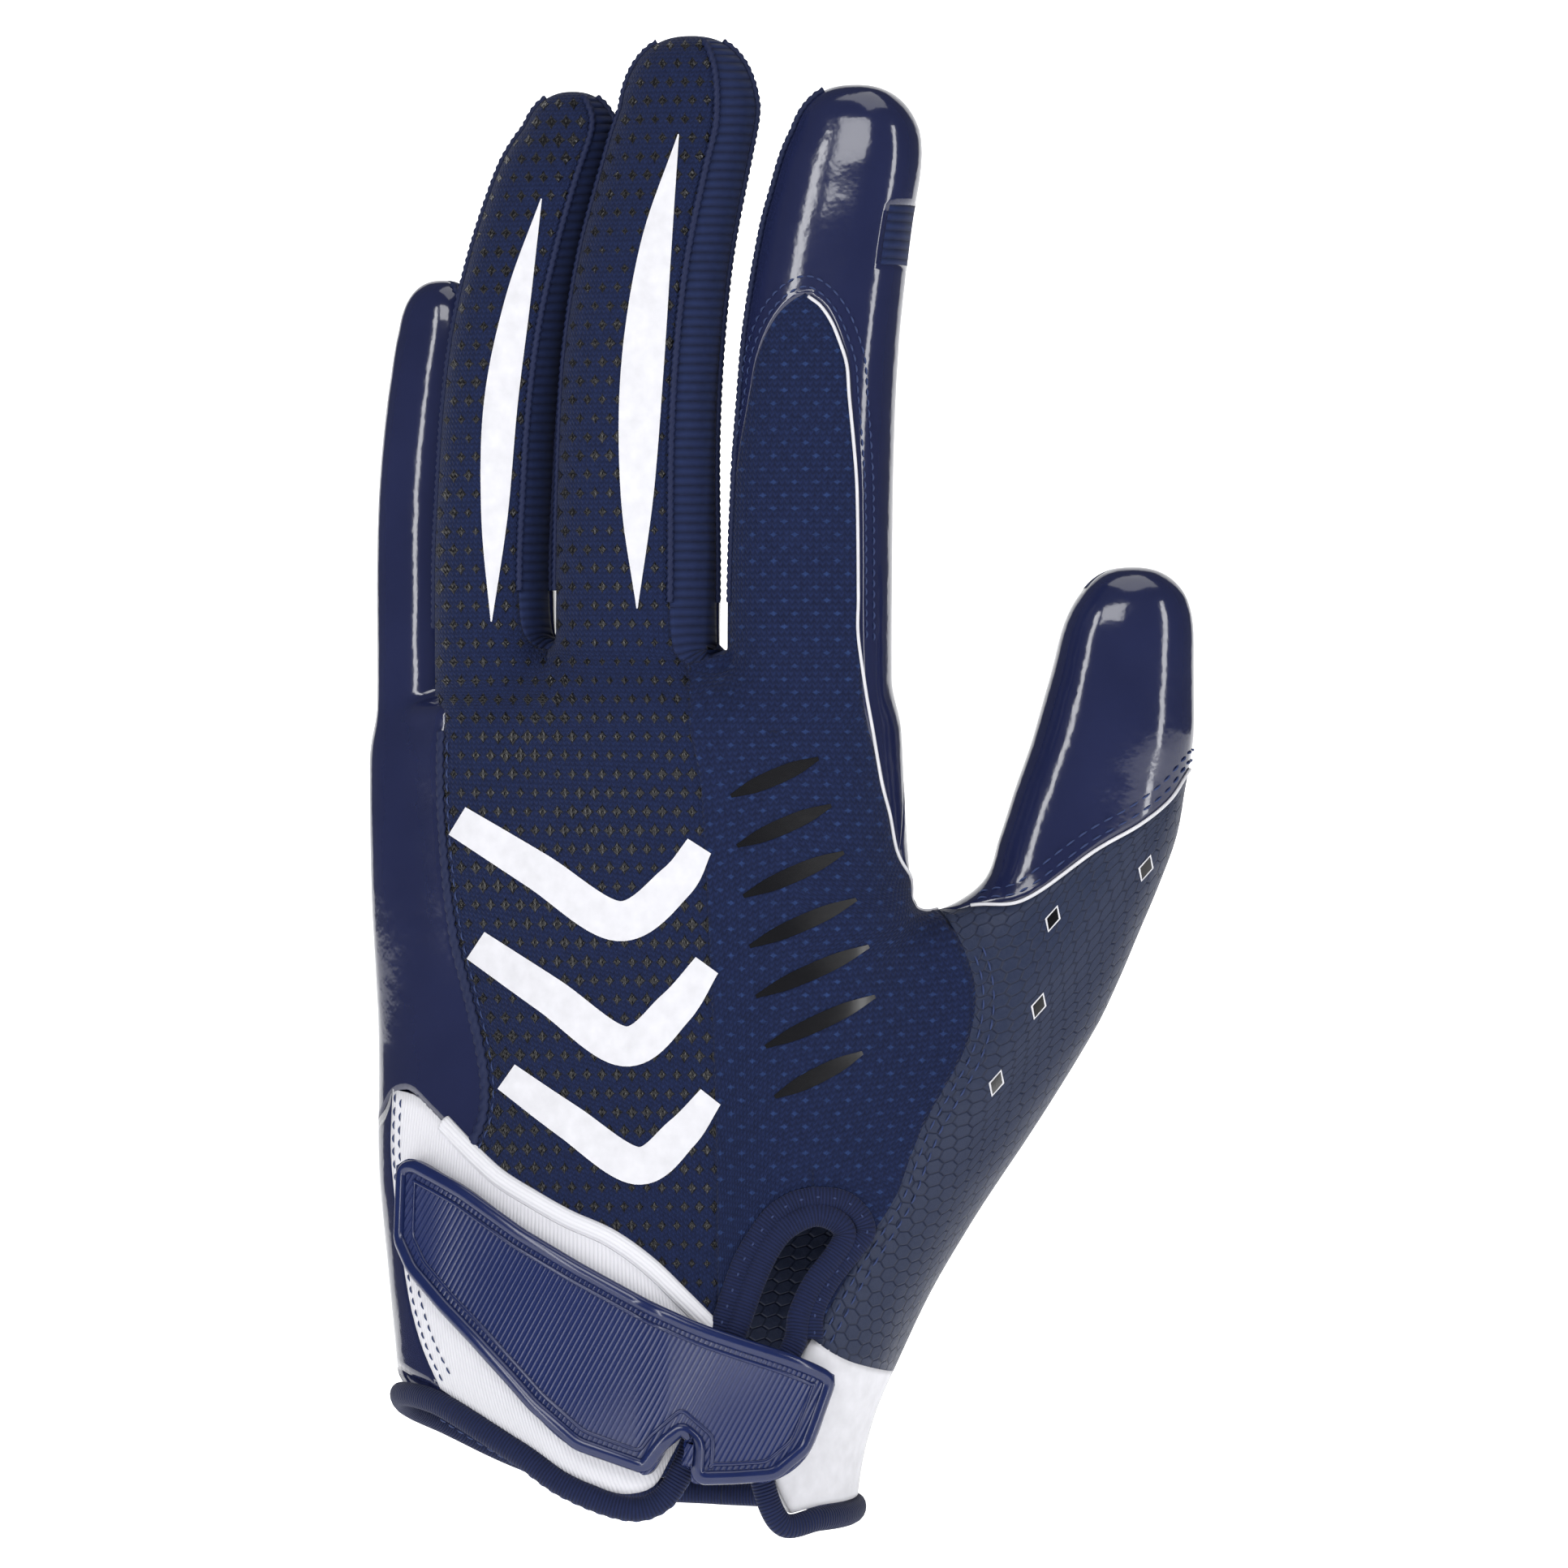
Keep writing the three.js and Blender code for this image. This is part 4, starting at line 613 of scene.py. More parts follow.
def index_grids():
    """Round the finger beside the mesh, its leg on the far side, and the strip to the web."""
    start = INDEX["tip"] - INDEX["round"]
    heights = LEVELS + ARCH_LEVELS + ABOVE_ARCH
    z = np.array(heights + [start] * 5)
    rise = np.array([0.0] * (len(heights) + 1) + DOME_STEPS)
    right = along(MESH_ARCH, "right", z)[:, None]
    spread = smooth((z - KNUCKLE_Z) / (121.2 + CROTCH_RADIUS - KNUCKLE_Z))[:, None]
    i = np.arange(INDEX_COLUMNS + 1)[None]
    even = mix(right, 242, i / INDEX_COLUMNS)
    turn = mix(right, INDEX_PALM, i / INDEX_SIDE)
    flat = mix(INDEX_PALM, 225, (i - INDEX_SIDE) / (INDEX_COLUMNS - INDEX_SIDE))
    low = np.where(i <= INDEX_SIDE, turn, flat)
    main = settle(digit_point(INDEX, mix(low, even, spread), z[:, None], rise[:, None]))
    main[:, -1] = strip_edge(INDEX, 242, CROTCH["middle_index"], PALM, z, rise)
    main[0] = INDEX_BASE
    upper = (z >= 149) | (rise > 0)
    left = along(MESH_ARCH, "left", z[upper])[:, None]
    angle = mix(INDEX_EDGE, left, np.array([[0, 0.5, 1]]))
    leg = digit_point(INDEX, angle, z[upper][:, None], rise[upper][:, None])
    t = np.linspace(0, 1, INDEX_SIDE + 1)[None, :, None]
    ribbon = settle(mix(side_line(56)[:, None], side_line(INDEX_PALM)[:, None], t))
    ribbon[0] = SIDE_TOP
    ribbon[-1] = INDEX_BASE[: INDEX_SIDE + 1]
    return main, leg, ribbon


THUMB_EDGE = table(["z", "height"], [
    [-90, 89], [-46, 80.5], [-22, 82.6], [-4, 89.7], [45, 98], [90, 104.7],
    [135, 98], [184, 90], [202, 83], [226, 80.5], [270, 89], [314, 80.5]])


def thumb_grids():
    """A sleeve from its slanting hem to the tip, and the web that fills its foot."""
    start = THUMB["tip"] - THUMB["round"]
    i = np.arange(16) % 15
    angle = np.where(i <= 11, mix(-46, 226, i / 11), mix(226, 314, (i - 11) / 4))[None]
    v = np.linspace(0, 1, 6)[:, None]
    low = settle(digit_point(THUMB, angle, mix(along(THUMB_EDGE, "height", angle), start, v)))
    tip = digit_point(THUMB, angle, start, np.array([0.25, 0.5, 0.75, 1])[:, None])
    sleeve = np.concatenate([low, tip])
    edge = np.concatenate([sleeve[0][11:15], sleeve[0][:1]])
    t = np.linspace(0, 1, 4)[:, None, None]
    web = mix(edge[None], WEB, t)
    web[..., 2] -= 2 * np.sin(np.pi * t[..., 0])
    web[1:-1] = settle(web[1:-1])
    return sleeve, web


SLEEVE, THUMB_WEB = thumb_grids()
WEB_BACK, WEB_PALM = THUMB_WEB[::-1, -1], THUMB_WEB[:, 0]
LEATHER_TOP = np.concatenate([WEB_BACK[:-1], SLEEVE[0][:12], WEB_PALM[1:]])
LEATHER_CUFF = curve_on([*on_back([[30, 13.5], [35, 10.2]]), wrist_side(75, 8), wrist_side(105, 8),
                         *on_palm([[32, 8], [18, 9]])], len(LEATHER_TOP) - 1)
LEATHER = sheet(LEATHER_CUFF, LEATHER_TOP, LINE["leather_back"], LINE["leather_palm"])


def palm_grids():
    ring_row = level_row(-23, -8, PALM, 4)
    middle_row = level_row(-8, 16.5, PALM, 5)
    index_row = INDEX_BASE[INDEX_SIDE:][::-1]
    top = np.concatenate([ring_row, middle_row[1:], index_row[1:]])
    right = np.concatenate([LINE["leather_palm"], WEB_RISE[1:], side_line(INDEX_PALM)[1:]])
    left = seam("pinkie_palm", PALM, len(right) - 1)
    wide = sheet(seam("palm_cuff", PALM, len(top) - 1), top, left, right)
    edges = [258, 92]
    ring = strip(RING, edges, [CROTCH["pinkie_ring"], CROTCH["ring_middle"]], PALM, 4, ring_row)
    beside_middle = [CROTCH["ring_middle"], CROTCH["middle_index"]]
    middle = strip(MIDDLE, edges, beside_middle, PALM, 5, middle_row)
    return [wide, ring, middle]


PALM_GRIDS = palm_grids()
PINKIE_GRIDS = pinkie_grids()
INDEX_MAIN, INDEX_LEG, INDEX_RIBBON = index_grids()
print("leather grid:", LEATHER.shape[:2], "palm grids:", [g.shape[:2] for g in PALM_GRIDS])

# %% [markdown]
# Each panel becomes a mesh with a small thickness. Its UV map is laid out in metres along
# the cloth, so that a weave or rib keeps its real size whatever the panel's shape. Faces
# are turned so that they look away from the hand.

# %% Meshes from grids


def grid_faces(rows, columns):
    i = np.arange(rows * columns).reshape(rows, columns)
    return np.stack([i[:-1, :-1], i[:-1, 1:], i[1:, 1:], i[1:, :-1]], -1).reshape(-1, 4)


def turned_out(points, faces):
    """Faces in the other order if most of them look into the glove."""
    a, b, c, d = (points[faces[:, k]] for k in range(4))
    facing = (np.cross(c - a, d - b) * slope(points[faces].mean(1))).sum()
    return faces[:, ::-1] if facing < 0 else faces


def cloth_uv(grid):
    """Distance along the rows from their middle, and mean distance up the columns."""
    across = np.linalg.norm(np.diff(grid, axis=1), axis=-1).cumsum(axis=1)
    across = np.concatenate([np.zeros((len(grid), 1)), across], axis=1)
    across -= across[:, [across.shape[1] // 2]]
    up = np.linalg.norm(np.diff(grid, axis=0), axis=-1).mean(axis=1).cumsum()
    up = np.concatenate([[0], up]) + grid[0, :, 2].mean()
    return np.stack([across, np.broadcast_to(up[:, None], across.shape)], axis=-1)


def mesh_object(name, points, faces, uv, material):
    mesh = bpy.data.meshes.new(name)
    mesh.from_pydata((points * MM).tolist(), [], [list(f) for f in faces])
    layer = mesh.uv_layers.new(name="cloth")
    corner = np.empty(len(mesh.loops), dtype=np.int32)
    mesh.loops.foreach_get("vertex_index", corner)
    layer.data.foreach_set("uv", (uv * MM)[corner].astype(np.float32).ravel())
    mesh.polygons.foreach_set("use_smooth", np.full(len(mesh.polygons), True))
    mesh.materials.append(material)
    obj = bpy.data.objects.new(name, mesh)
    bpy.context.collection.objects.link(obj)
    return obj


def weld(obj, distance=0.03):
    """Joins the points that neighbouring grids share."""
    work = bmesh.new()
    work.from_mesh(obj.data)
    bmesh.ops.remove_doubles(work, verts=work.verts, dist=distance * MM)
    bmesh.ops.dissolve_degenerate(work, dist=0.01 * MM, edges=work.edges)
    work.to_mesh(obj.data)
    work.free()


def dress(obj, slot, *nodes):
    """Rides on the root body and stands for the frame's nodes, which it hides. The slot is not used."""
    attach(obj, "root")
    if nodes:
        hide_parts(*nodes)
    return obj


def panel(name, grids, material, slot, nodes=(), parts=4, thickness=1.2, holes=None):
    """One sewn panel: its grids laid on the skin, joined, and thickened inwards."""
    points, faces, uvs, start = [], [], [], 0
    for k, grid in enumerate(grids):
        fine = laid(grid, parts)
        flat = fine.reshape(-1, 3)
        own = turned_out(flat, grid_faces(*fine.shape[:2]))
        if holes and k in holes:
            rows, columns = holes[k]
            cell = np.arange((fine.shape[0] - 1) * (fine.shape[1] - 1))
            j, i = np.divmod(cell, fine.shape[1] - 1)
            inside = (j >= rows[0] * parts) & (j < rows[1] * parts)
            inside &= (i >= columns[0] * parts) & (i < columns[1] * parts)
            own = own[~inside]
        points.append(flat)
        faces.append(own + start)
        uvs.append(cloth_uv(fine).reshape(-1, 2))
        start += len(flat)
    points, faces, uvs = (np.concatenate(part) for part in (points, faces, uvs))
    obj = mesh_object(name, points, faces, uvs, material)
    weld(obj)
    solid = obj.modifiers.new("thickness", "SOLIDIFY")
    solid.thickness = thickness * MM
    solid.offset = -1
    return dress(obj, slot, *nodes)


def frames(path):
    """At each point of a path: ahead along it, across it on the skin, and out of the skin."""
    ahead = unit(np.gradient(path, axis=0))
    across = unit(np.cross(unit(slope(path)), ahead))
    return ahead, across, np.cross(ahead, across)


def tube(name, path, half_width, half_height, material, slot, nodes=(), sides=14, twist=0.0,
         lift=0.0, closed=False):
    """An oval carried along a path; twist makes two strands that wind round each other."""
    _, across, out = frames(path)
    length = np.concatenate([[0], np.linalg.norm(np.diff(path, axis=0), axis=1).cumsum()])
    angle = np.linspace(0, 2 * np.pi, sides, endpoint=False)[None]
    size = 1 + (0.24 * np.cos(2 * (angle - length[:, None] * twist)) if twist else 0 * angle)
    ring = path[:, None] + out[:, None] * lift
    ring = ring + across[:, None] * (half_width * size * np.cos(angle))[..., None]
    ring = ring + out[:, None] * (half_height * size * np.sin(angle))[..., None]
    rows = len(path)
    i = np.arange(rows * sides).reshape(rows, sides)
    if closed:
        i = np.concatenate([i, i[:1]])
    j = np.roll(i, -1, axis=1)
    faces = np.stack([i[:-1], j[:-1], j[1:], i[1:]], -1).reshape(-1, 4).tolist()
    if not closed:
        faces += [i[0, ::-1].tolist(), i[-1].tolist()]
    uv = np.stack(np.broadcast_arrays(angle * half_width, length[:, None]), -1)
    obj = mesh_object(name, ring.reshape(-1, 3), faces, uv.reshape(-1, 2), material)
    work = bmesh.new()
    work.from_mesh(obj.data)
    bmesh.ops.recalc_face_normals(work, faces=work.faces)
    work.to_mesh(obj.data)
    work.free()
    return dress(obj, slot, *nodes)


def stitches(name, path, length, gap, radius, material, slot, lift=0.1):
    """Short threads along a path; each is a thin capsule that dips into the cloth at its ends."""
    _, across, out = frames(path)
    run = np.concatenate([[0], np.linalg.norm(np.diff(path, axis=0), axis=1).cumsum()])
    middle = np.arange(length, run[-1] - length / 2, length + gap)
    t = np.linspace(-0.5, 0.5, 5)
    at = middle[:, None] + length * t[None]

    def sample(values):
        return np.stack([np.interp(at, run, values[:, k]) for k in range(3)], -1)

    height = (lift + radius) * np.cos(np.pi * t) - radius * 0.4
    centre = sample(path) + unit(sample(out)) * height[None, :, None]
    turn = np.linspace(0, 2 * np.pi, 6, endpoint=False)
    wide = radius * np.array([0.4, 0.9, 1, 0.9, 0.4])[None, :, None, None]
    cos, sin = (wave(turn)[None, None, :, None] for wave in (np.cos, np.sin))
    ring = centre[:, :, None] + unit(sample(across))[:, :, None] * wide * cos
    ring = ring + unit(sample(out))[:, :, None] * wide * sin
    i = np.arange(ring.shape[0] * len(t) * len(turn)).reshape(-1, len(t), len(turn))
    j = np.roll(i, -1, axis=2)
    faces = np.stack([i[:, :-1], i[:, 1:], j[:, 1:], j[:, :-1]], -1).reshape(-1, 4)
    flat = ring.reshape(-1, 3)
    obj = mesh_object(name, flat, faces, flat[:, [0, 2]], material)
    return dress(obj, slot)


print("faces of a 3 by 4 grid:", len(grid_faces(3, 4)))

# %% [markdown]
# Finishes are made with shader nodes. The patterns that several finishes share are node
# groups: knit loops, raised dots, six-sided cells and plain ribs. They give out heights and
# masks only, and each finish turns these into colour, gloss and relief of its own.

# %% Node helpers and pattern groups


def joined(tree, socket, value):
    if isinstance(value, bpy.types.NodeSocket):
        tree.links.new(value, socket)
    else:
        socket.default_value = value


def math_node(tree, operation, *values, clamp=False):
    node = tree.nodes.new("ShaderNodeMath")
    node.operation = operation
    node.use_clamp = clamp
    for socket, value in zip(node.inputs, values):
        joined(tree, socket, value)
    return node.outputs[0]


def new_group(name, inputs, outputs):
    tree = bpy.data.node_groups.new(name, "ShaderNodeTree")
    for label, kind in inputs:
        tree.interface.new_socket(label, in_out="INPUT", socket_type=kind)
    for label in outputs:
        tree.interface.new_socket(label, in_out="OUTPUT", socket_type="NodeSocketFloat")
    return tree, tree.nodes.new("NodeGroupInput"), tree.nodes.new("NodeGroupOutput")


def split(tree, vector):
    node = tree.nodes.new("ShaderNodeSeparateXYZ")
    tree.links.new(vector, node.inputs[0])
    return node.outputs


def ridge(tree, value):
    """A saw of straight flanks: 0 at whole numbers, 1 half way between."""
    part = math_node(tree, "FRACT", value)
    middle = math_node(tree, "ABSOLUTE", math_node(tree, "MULTIPLY_ADD", part, 2, -1))
    return math_node(tree, "SUBTRACT", 1, middle)


def knit_group():
    """Loops: columns of V shapes, so each row's height follows the distance from its column."""
    inputs = [("Vector", "NodeSocketVector"), ("Pitch", "NodeSocketFloat")]
    tree, source, sink = new_group("knit_loops", inputs, ["Height"])
    u, v, _ = split(tree, source.outputs["Vector"])
    column = ridge(tree, math_node(tree, "DIVIDE", u, source.outputs["Pitch"]))
    level = math_node(tree, "DIVIDE", v, source.outputs["Pitch"])
    row = math_node(tree, "MULTIPLY_ADD", column, 0.5, level)
    loops = math_node(tree, "MULTIPLY", ridge(tree, row), math_node(tree, "POWER", column, 0.4))
    tree.links.new(loops, sink.inputs["Height"])
    return tree


DOT_POINT = 0.8
DOT_EDGE = 9


def dot_group():
    """Rows of four-pointed dots: the sum of the roots of the two distances, below a size."""
    inputs = [("Vector", "NodeSocketVector"), ("Width", "NodeSocketFloat"),
              ("Rise", "NodeSocketFloat"), ("Size", "NodeSocketFloat")]
    tree, source, sink = new_group("raised_dots", inputs, ["Mask"])
    u, _, v = split(tree, source.outputs["Vector"])
    row = math_node(tree, "DIVIDE", v, source.outputs["Rise"])
    odd = math_node(tree, "FLOORED_MODULO", math_node(tree, "FLOOR", row), 2)
    odd = math_node(tree, "MULTIPLY", odd, 0.5)
    column = math_node(tree, "ADD", math_node(tree, "DIVIDE", u, source.outputs["Width"]), odd)
    roots = []
    for part in (column, row):
        centred = math_node(tree, "SUBTRACT", math_node(tree, "FRACT", part), 0.5)
        roots.append(math_node(tree, "POWER", math_node(tree, "ABSOLUTE", centred), DOT_POINT))
    within = math_node(tree, "SUBTRACT", source.outputs["Size"], math_node(tree, "ADD", *roots))
    inside = math_node(tree, "MULTIPLY", within, DOT_EDGE, clamp=True)
    tree.links.new(inside, sink.inputs["Mask"])
    return tree


HEX_ROW = 1.732


def hex_group():
    """Six-sided cells: the nearer of two offset lattices of centres, and how far to its side."""
    inputs = [("Vector", "NodeSocketVector"), ("Pitch", "NodeSocketFloat")]
    tree, source, sink = new_group("hex_cells", inputs, ["Edge"])
    u, v, _ = split(tree, source.outputs["Vector"])
    x = math_node(tree, "DIVIDE", u, source.outputs["Pitch"])
    y = math_node(tree, "DIVIDE", v, source.outputs["Pitch"])
    found = []
    for shift in (0.0, 0.5):
        offsets = []
        for value, period in ((x, 1), (y, HEX_ROW)):
            moved = math_node(tree, "ADD", value, shift * period)
            cell = math_node(tree, "FLOORED_MODULO", moved, period)
            offsets.append(math_node(tree, "ABSOLUTE", math_node(tree, "SUBTRACT", cell, period / 2)))
        ax, ay = offsets
        half = math_node(tree, "MULTIPLY", ax, 0.5)
        slant = math_node(tree, "MULTIPLY_ADD", ay, HEX_ROW / 2, half)
        found.append(math_node(tree, "MAXIMUM", ax, slant))
    near = math_node(tree, "MULTIPLY", math_node(tree, "MINIMUM", *found), 2)
    tree.links.new(near, sink.inputs["Edge"])
    return tree


def rib_group():
    """Even ribs along one direction: half a sine wave a rib."""
    inputs = [("Along", "NodeSocketFloat"), ("Pitch", "NodeSocketFloat")]
    tree, source, sink = new_group("ribs", inputs, ["Height"])
    count = math_node(tree, "DIVIDE", source.outputs["Along"], source.outputs["Pitch"])
    turn = math_node(tree, "MULTIPLY", count, np.pi)
    tree.links.new(math_node(tree, "ABSOLUTE", math_node(tree, "SINE", turn)), sink.inputs["Height"])
    return tree


KNIT, DOTS, HEXES, RIBS = knit_group(), dot_group(), hex_group(), rib_group()


class Finish:
    """A material with one Principled shader and short ways to add patterns to it."""

    def __init__(self, name, color, roughness, **sockets):
        self.material = bpy.data.materials.new(name)
        self.material.use_nodes = True
        self.tree = self.material.node_tree
        self.shader = self.tree.nodes["Principled BSDF"]
        self.shader.inputs["Base Color"].default_value = (*color, 1)
        self.shader.inputs["Roughness"].default_value = roughness
        for label, value in sockets.items():
            self.shader.inputs[label.replace("_", " ")].default_value = value
        self.uv = self.tree.nodes.new("ShaderNodeUVMap").outputs[0]
        self.uv.node.uv_map = "cloth"
        self.place = self.tree.nodes.new("ShaderNodeTexCoord").outputs["Object"]

    def group(self, tree, output, **values):
        node = self.tree.nodes.new("ShaderNodeGroup")
        node.node_tree = tree
        for label, value in values.items():
            joined(self.tree, node.inputs[label], value)
        return node.outputs[output]

    def noise(self, scale, detail=3.0, vector=None):
        node = self.tree.nodes.new("ShaderNodeTexNoise")
        node.inputs["Scale"].default_value = scale
        node.inputs["Detail"].default_value = detail
        self.tree.links.new(vector or self.place, node.inputs["Vector"])
        return node.outputs["Fac"]

    def math(self, operation, *values, clamp=False):
        return math_node(self.tree, operation, *values, clamp=clamp)

    def mixed(self, share, first, second):
        node = self.tree.nodes.new("ShaderNodeMix")
        node.data_type = "RGBA"
        joined(self.tree, node.inputs["Factor"], share)
        for socket, value in ((node.inputs[6], first), (node.inputs[7], second)):
            joined(self.tree, socket, value if isinstance(value, bpy.types.NodeSocket) else (*value, 1))
        return node.outputs[2]

    def bump(self, height, distance, strength=1.0, before=None):
        node = self.tree.nodes.new("ShaderNodeBump")
        node.inputs["Strength"].default_value = strength
        node.inputs["Distance"].default_value = distance * MM
        self.tree.links.new(height, node.inputs["Height"])
        if before:
            self.tree.links.new(before, node.inputs["Normal"])
        return node.outputs["Normal"]

    def set(self, label, value):
        self.tree.links.new(value, self.shader.inputs[label])


print("pattern groups:", [g.name for g in (KNIT, DOTS, HEXES, RIBS)])

# %% [markdown]
# The colours are navy blues that differ mainly in gloss: matt knit, printed film with a hard
# shine, satin leather and moulded plastic. White jersey and black print stand against them.

# %% Finishes
# Linear colours, darkest first where a finish has two. The darker colours of the knit, ribs, jersey and
# gloss creases, and the leather's groove colour, are painted shade in hollows; the leather's pair is its
# grain.
KNIT_BLUE = (0.0105, 0.0195, 0.070)
# Painted shade in the knit's and ribs' hollows, and the dark end of their random mottle.
KNIT_MOTTLE_AND_HOLLOW_SHADE = (0.0045, 0.0075, 0.027)
# The first is painted shade in the dips of the gloss creases.
GLOSS_CREASE_SHADE_PAIR = ((0.0085, 0.0115, 0.040), (0.015, 0.0195, 0.062))
LEATHER_SHADES = ((0.012, 0.018, 0.043), (0.021, 0.029, 0.062))
# Painted shade in the grooves between the leather's hex cells.
LEATHER_GROOVE_SHADE = (0.010, 0.014, 0.033)
BINDING_BLUE = (0.0085, 0.0145, 0.056)
# Painted shade in the binding's rib grooves, and the dark end of its random tone.
BINDING_MOTTLE_AND_GROOVE_SHADE = (0.0035, 0.006, 0.024)
STRAP_BLUE = (0.0090, 0.0170, 0.078)
# Painted highlight on the crests of the strap's ribs.
STRAP_CREST_HIGHLIGHT = (0.075, 0.085, 0.16)
MESH_DASH = (0.022, 0.048, 0.15)
THREAD_BLUE = (0.032, 0.050, 0.135)
CORD_BLUE = (0.010, 0.016, 0.055)
BLACK = (0.0026, 0.0028, 0.0045)
WHITE = (0.66, 0.66, 0.70)
# Painted shade in the grooves between the jersey's ribs.
WHITE_RIB_GROOVE_SHADE = (0.55, 0.55, 0.60)


def knit_finish(name, dots=None, pitch=0.85, dashes=False):
    f = Finish(name, KNIT_BLUE, 0.8, Sheen_Weight=0.05, Specular_IOR_Level=0.1)
    loops = f.group(KNIT, "Height", Vector=f.uv, Pitch=pitch * MM)
    mottle = f.noise(900, 4)
    # Painted shade: the knit is darker in the dips between its loops; the noise adds random mottle, the
    # yarn's own tone.
    shade = f.math("MULTIPLY_ADD", mottle, 0.7, f.math("MULTIPLY_ADD", loops, 0.75, -0.2), clamp=True)
    color = f.mixed(shade, KNIT_MOTTLE_AND_HOLLOW_SHADE, KNIT_BLUE)
    if dashes:
        flecks = f.group(DOTS, "Mask", Vector=f.place, Width=3.4 * MM, Rise=2.1 * MM, Size=0.33)
        color = f.mixed(f.math("MULTIPLY", flecks, mottle), color, MESH_DASH)
    normal = f.bump(loops, 0.22, 0.8)
    if dots:
        width, rise, size = dots
        grow = f.math("MULTIPLY_ADD", f.noise(70, 1), 0.55, size - 0.28)
        mask = f.group(DOTS, "Mask", Vector=f.place, Width=width * MM, Rise=rise * MM, Size=grow)
        color = f.mixed(mask, color, BLACK)
        f.set("Roughness", f.math("MULTIPLY_ADD", mask, -0.6, 0.8))
        f.set("Specular IOR Level", f.math("MULTIPLY_ADD", mask, 0.2, 0.1))
        normal = f.bump(mask, 0.55, 1.0, normal)
    f.set("Base Color", color)
    f.set("Normal", normal)
    return f.material


def rib_finish(name, color, dark, pitch, depth=0.3):
    f = Finish(name, color, 0.75, Sheen_Weight=0.05, Specular_IOR_Level=0.15)
    ribs = f.group(RIBS, "Height", Along=split(f.tree, f.uv)[1], Pitch=pitch * MM)
    # Painted shade: the dark colour fills the grooves between the ribs; the noise adds random tone.
    shade = f.math("MULTIPLY_ADD", f.noise(700), 0.5, f.math("MULTIPLY_ADD", ribs, 0.7, -0.1), clamp=True)
    f.set("Base Color", f.mixed(shade, dark, color))
    f.set("Normal", f.bump(ribs, depth, 0.9))
    return f.material


def gloss_finish(name):
    f = Finish(name, GLOSS_CREASE_SHADE_PAIR[1], 0.12, Specular_IOR_Level=0.6)
    creases = f.noise(55, 5)
    fine = f.noise(1500, 2)
    # Painted shade: the film is darker in the dips of the same creases that the bump makes.
    f.set("Base Color", f.mixed(creases, *GLOSS_CREASE_SHADE_PAIR))
    f.set("Roughness", f.math("MULTIPLY_ADD", fine, 0.08, 0.08))
    f.set("Normal", f.bump(creases, 1.0, 0.45))
    return f.material


def leather_finish():
    f = Finish("leather", LEATHER_SHADES[1], 0.5, Specular_IOR_Level=0.2)
    warp = f.tree.nodes.new("ShaderNodeVectorMath")
    warp.operation = "MULTIPLY_ADD"
    bend = f.tree.nodes.new("ShaderNodeTexNoise")
    bend.inputs["Scale"].default_value = 160
    f.tree.links.new(f.place, bend.inputs["Vector"])
    f.tree.links.new(bend.outputs["Color"], warp.inputs[0])
    warp.inputs[1].default_value = (0.0009, 0.0009, 0)
    f.tree.links.new(f.uv, warp.inputs[2])
    edge = f.group(HEXES, "Edge", Vector=warp.outputs[0], Pitch=2.7 * MM)
    groove = f.math("MULTIPLY", f.math("SUBTRACT", edge, 0.82), 6, clamp=True)
    grain = f.noise(1800, 4)
    folds = f.noise(90, 3)
    # Painted shade: the hex grooves are darker; the two grain colours are the leather's own random tone.
    f.set("Base Color", f.mixed(groove, f.mixed(grain, *LEATHER_SHADES), LEATHER_GROOVE_SHADE))
    f.set("Roughness", f.math("MULTIPLY_ADD", grain, 0.3, 0.3))
    puffed = f.math("SUBTRACT", 1, groove)
    f.set("Normal", f.bump(puffed, 0.2, 0.6, f.bump(grain, 0.07, 0.7, f.bump(folds, 1.6, 0.5))))
    return f.material


def white_finish(name, pitch, depth):
    f = Finish(name, WHITE, 0.75, Specular_IOR_Level=0.2)
    ribs = f.group(RIBS, "Height", Along=split(f.tree, f.uv)[0], Pitch=pitch * MM)
    # Painted shade: the jersey is darker in the grooves between its ribs.
    f.set("Base Color", f.mixed(f.math("MULTIPLY_ADD", ribs, 0.5, 0.5), WHITE_RIB_GROOVE_SHADE, WHITE))
    f.set("Normal", f.bump(ribs, depth, 0.6, f.bump(f.noise(60, 2), 0.6, 0.4)))
    return f.material


def strap_finish():
    f = Finish("strap", STRAP_BLUE, 0.24, Specular_IOR_Level=0.4)
    x, _, z = split(f.tree, f.place)
    slanted = f.math("MULTIPLY_ADD", z, 0.55, f.math("MULTIPLY", x, -1))
    ribs = f.group(RIBS, "Height", Along=slanted, Pitch=0.95 * MM)
    # Painted highlight: pale colour on the rib crests, in patches set by noise, stands for light caught by
    # the ribs.
    crest = f.math("MULTIPLY", f.math("SUBTRACT", ribs, 0.72), 3.2, clamp=True)
    highlight_patches = f.math("MULTIPLY_ADD", f.noise(26, 1), 2.4, -0.75, clamp=True)
    lines = f.math("MULTIPLY", crest, highlight_patches)
    f.set("Base Color", f.mixed(lines, STRAP_BLUE, STRAP_CREST_HIGHLIGHT))
    f.set("Normal", f.bump(ribs, 0.22, 0.6))
    return f.material


def plain_finish(name, color, roughness, **sockets):
    f = Finish(name, color, roughness, **sockets)
    wear = f.noise(420, 3)
    darker = tuple(c * 0.75 for c in color)
    f.set("Base Color", f.mixed(wear, darker, color))
    f.set("Normal", f.bump(wear, 0.05, 0.4))
    return f.material


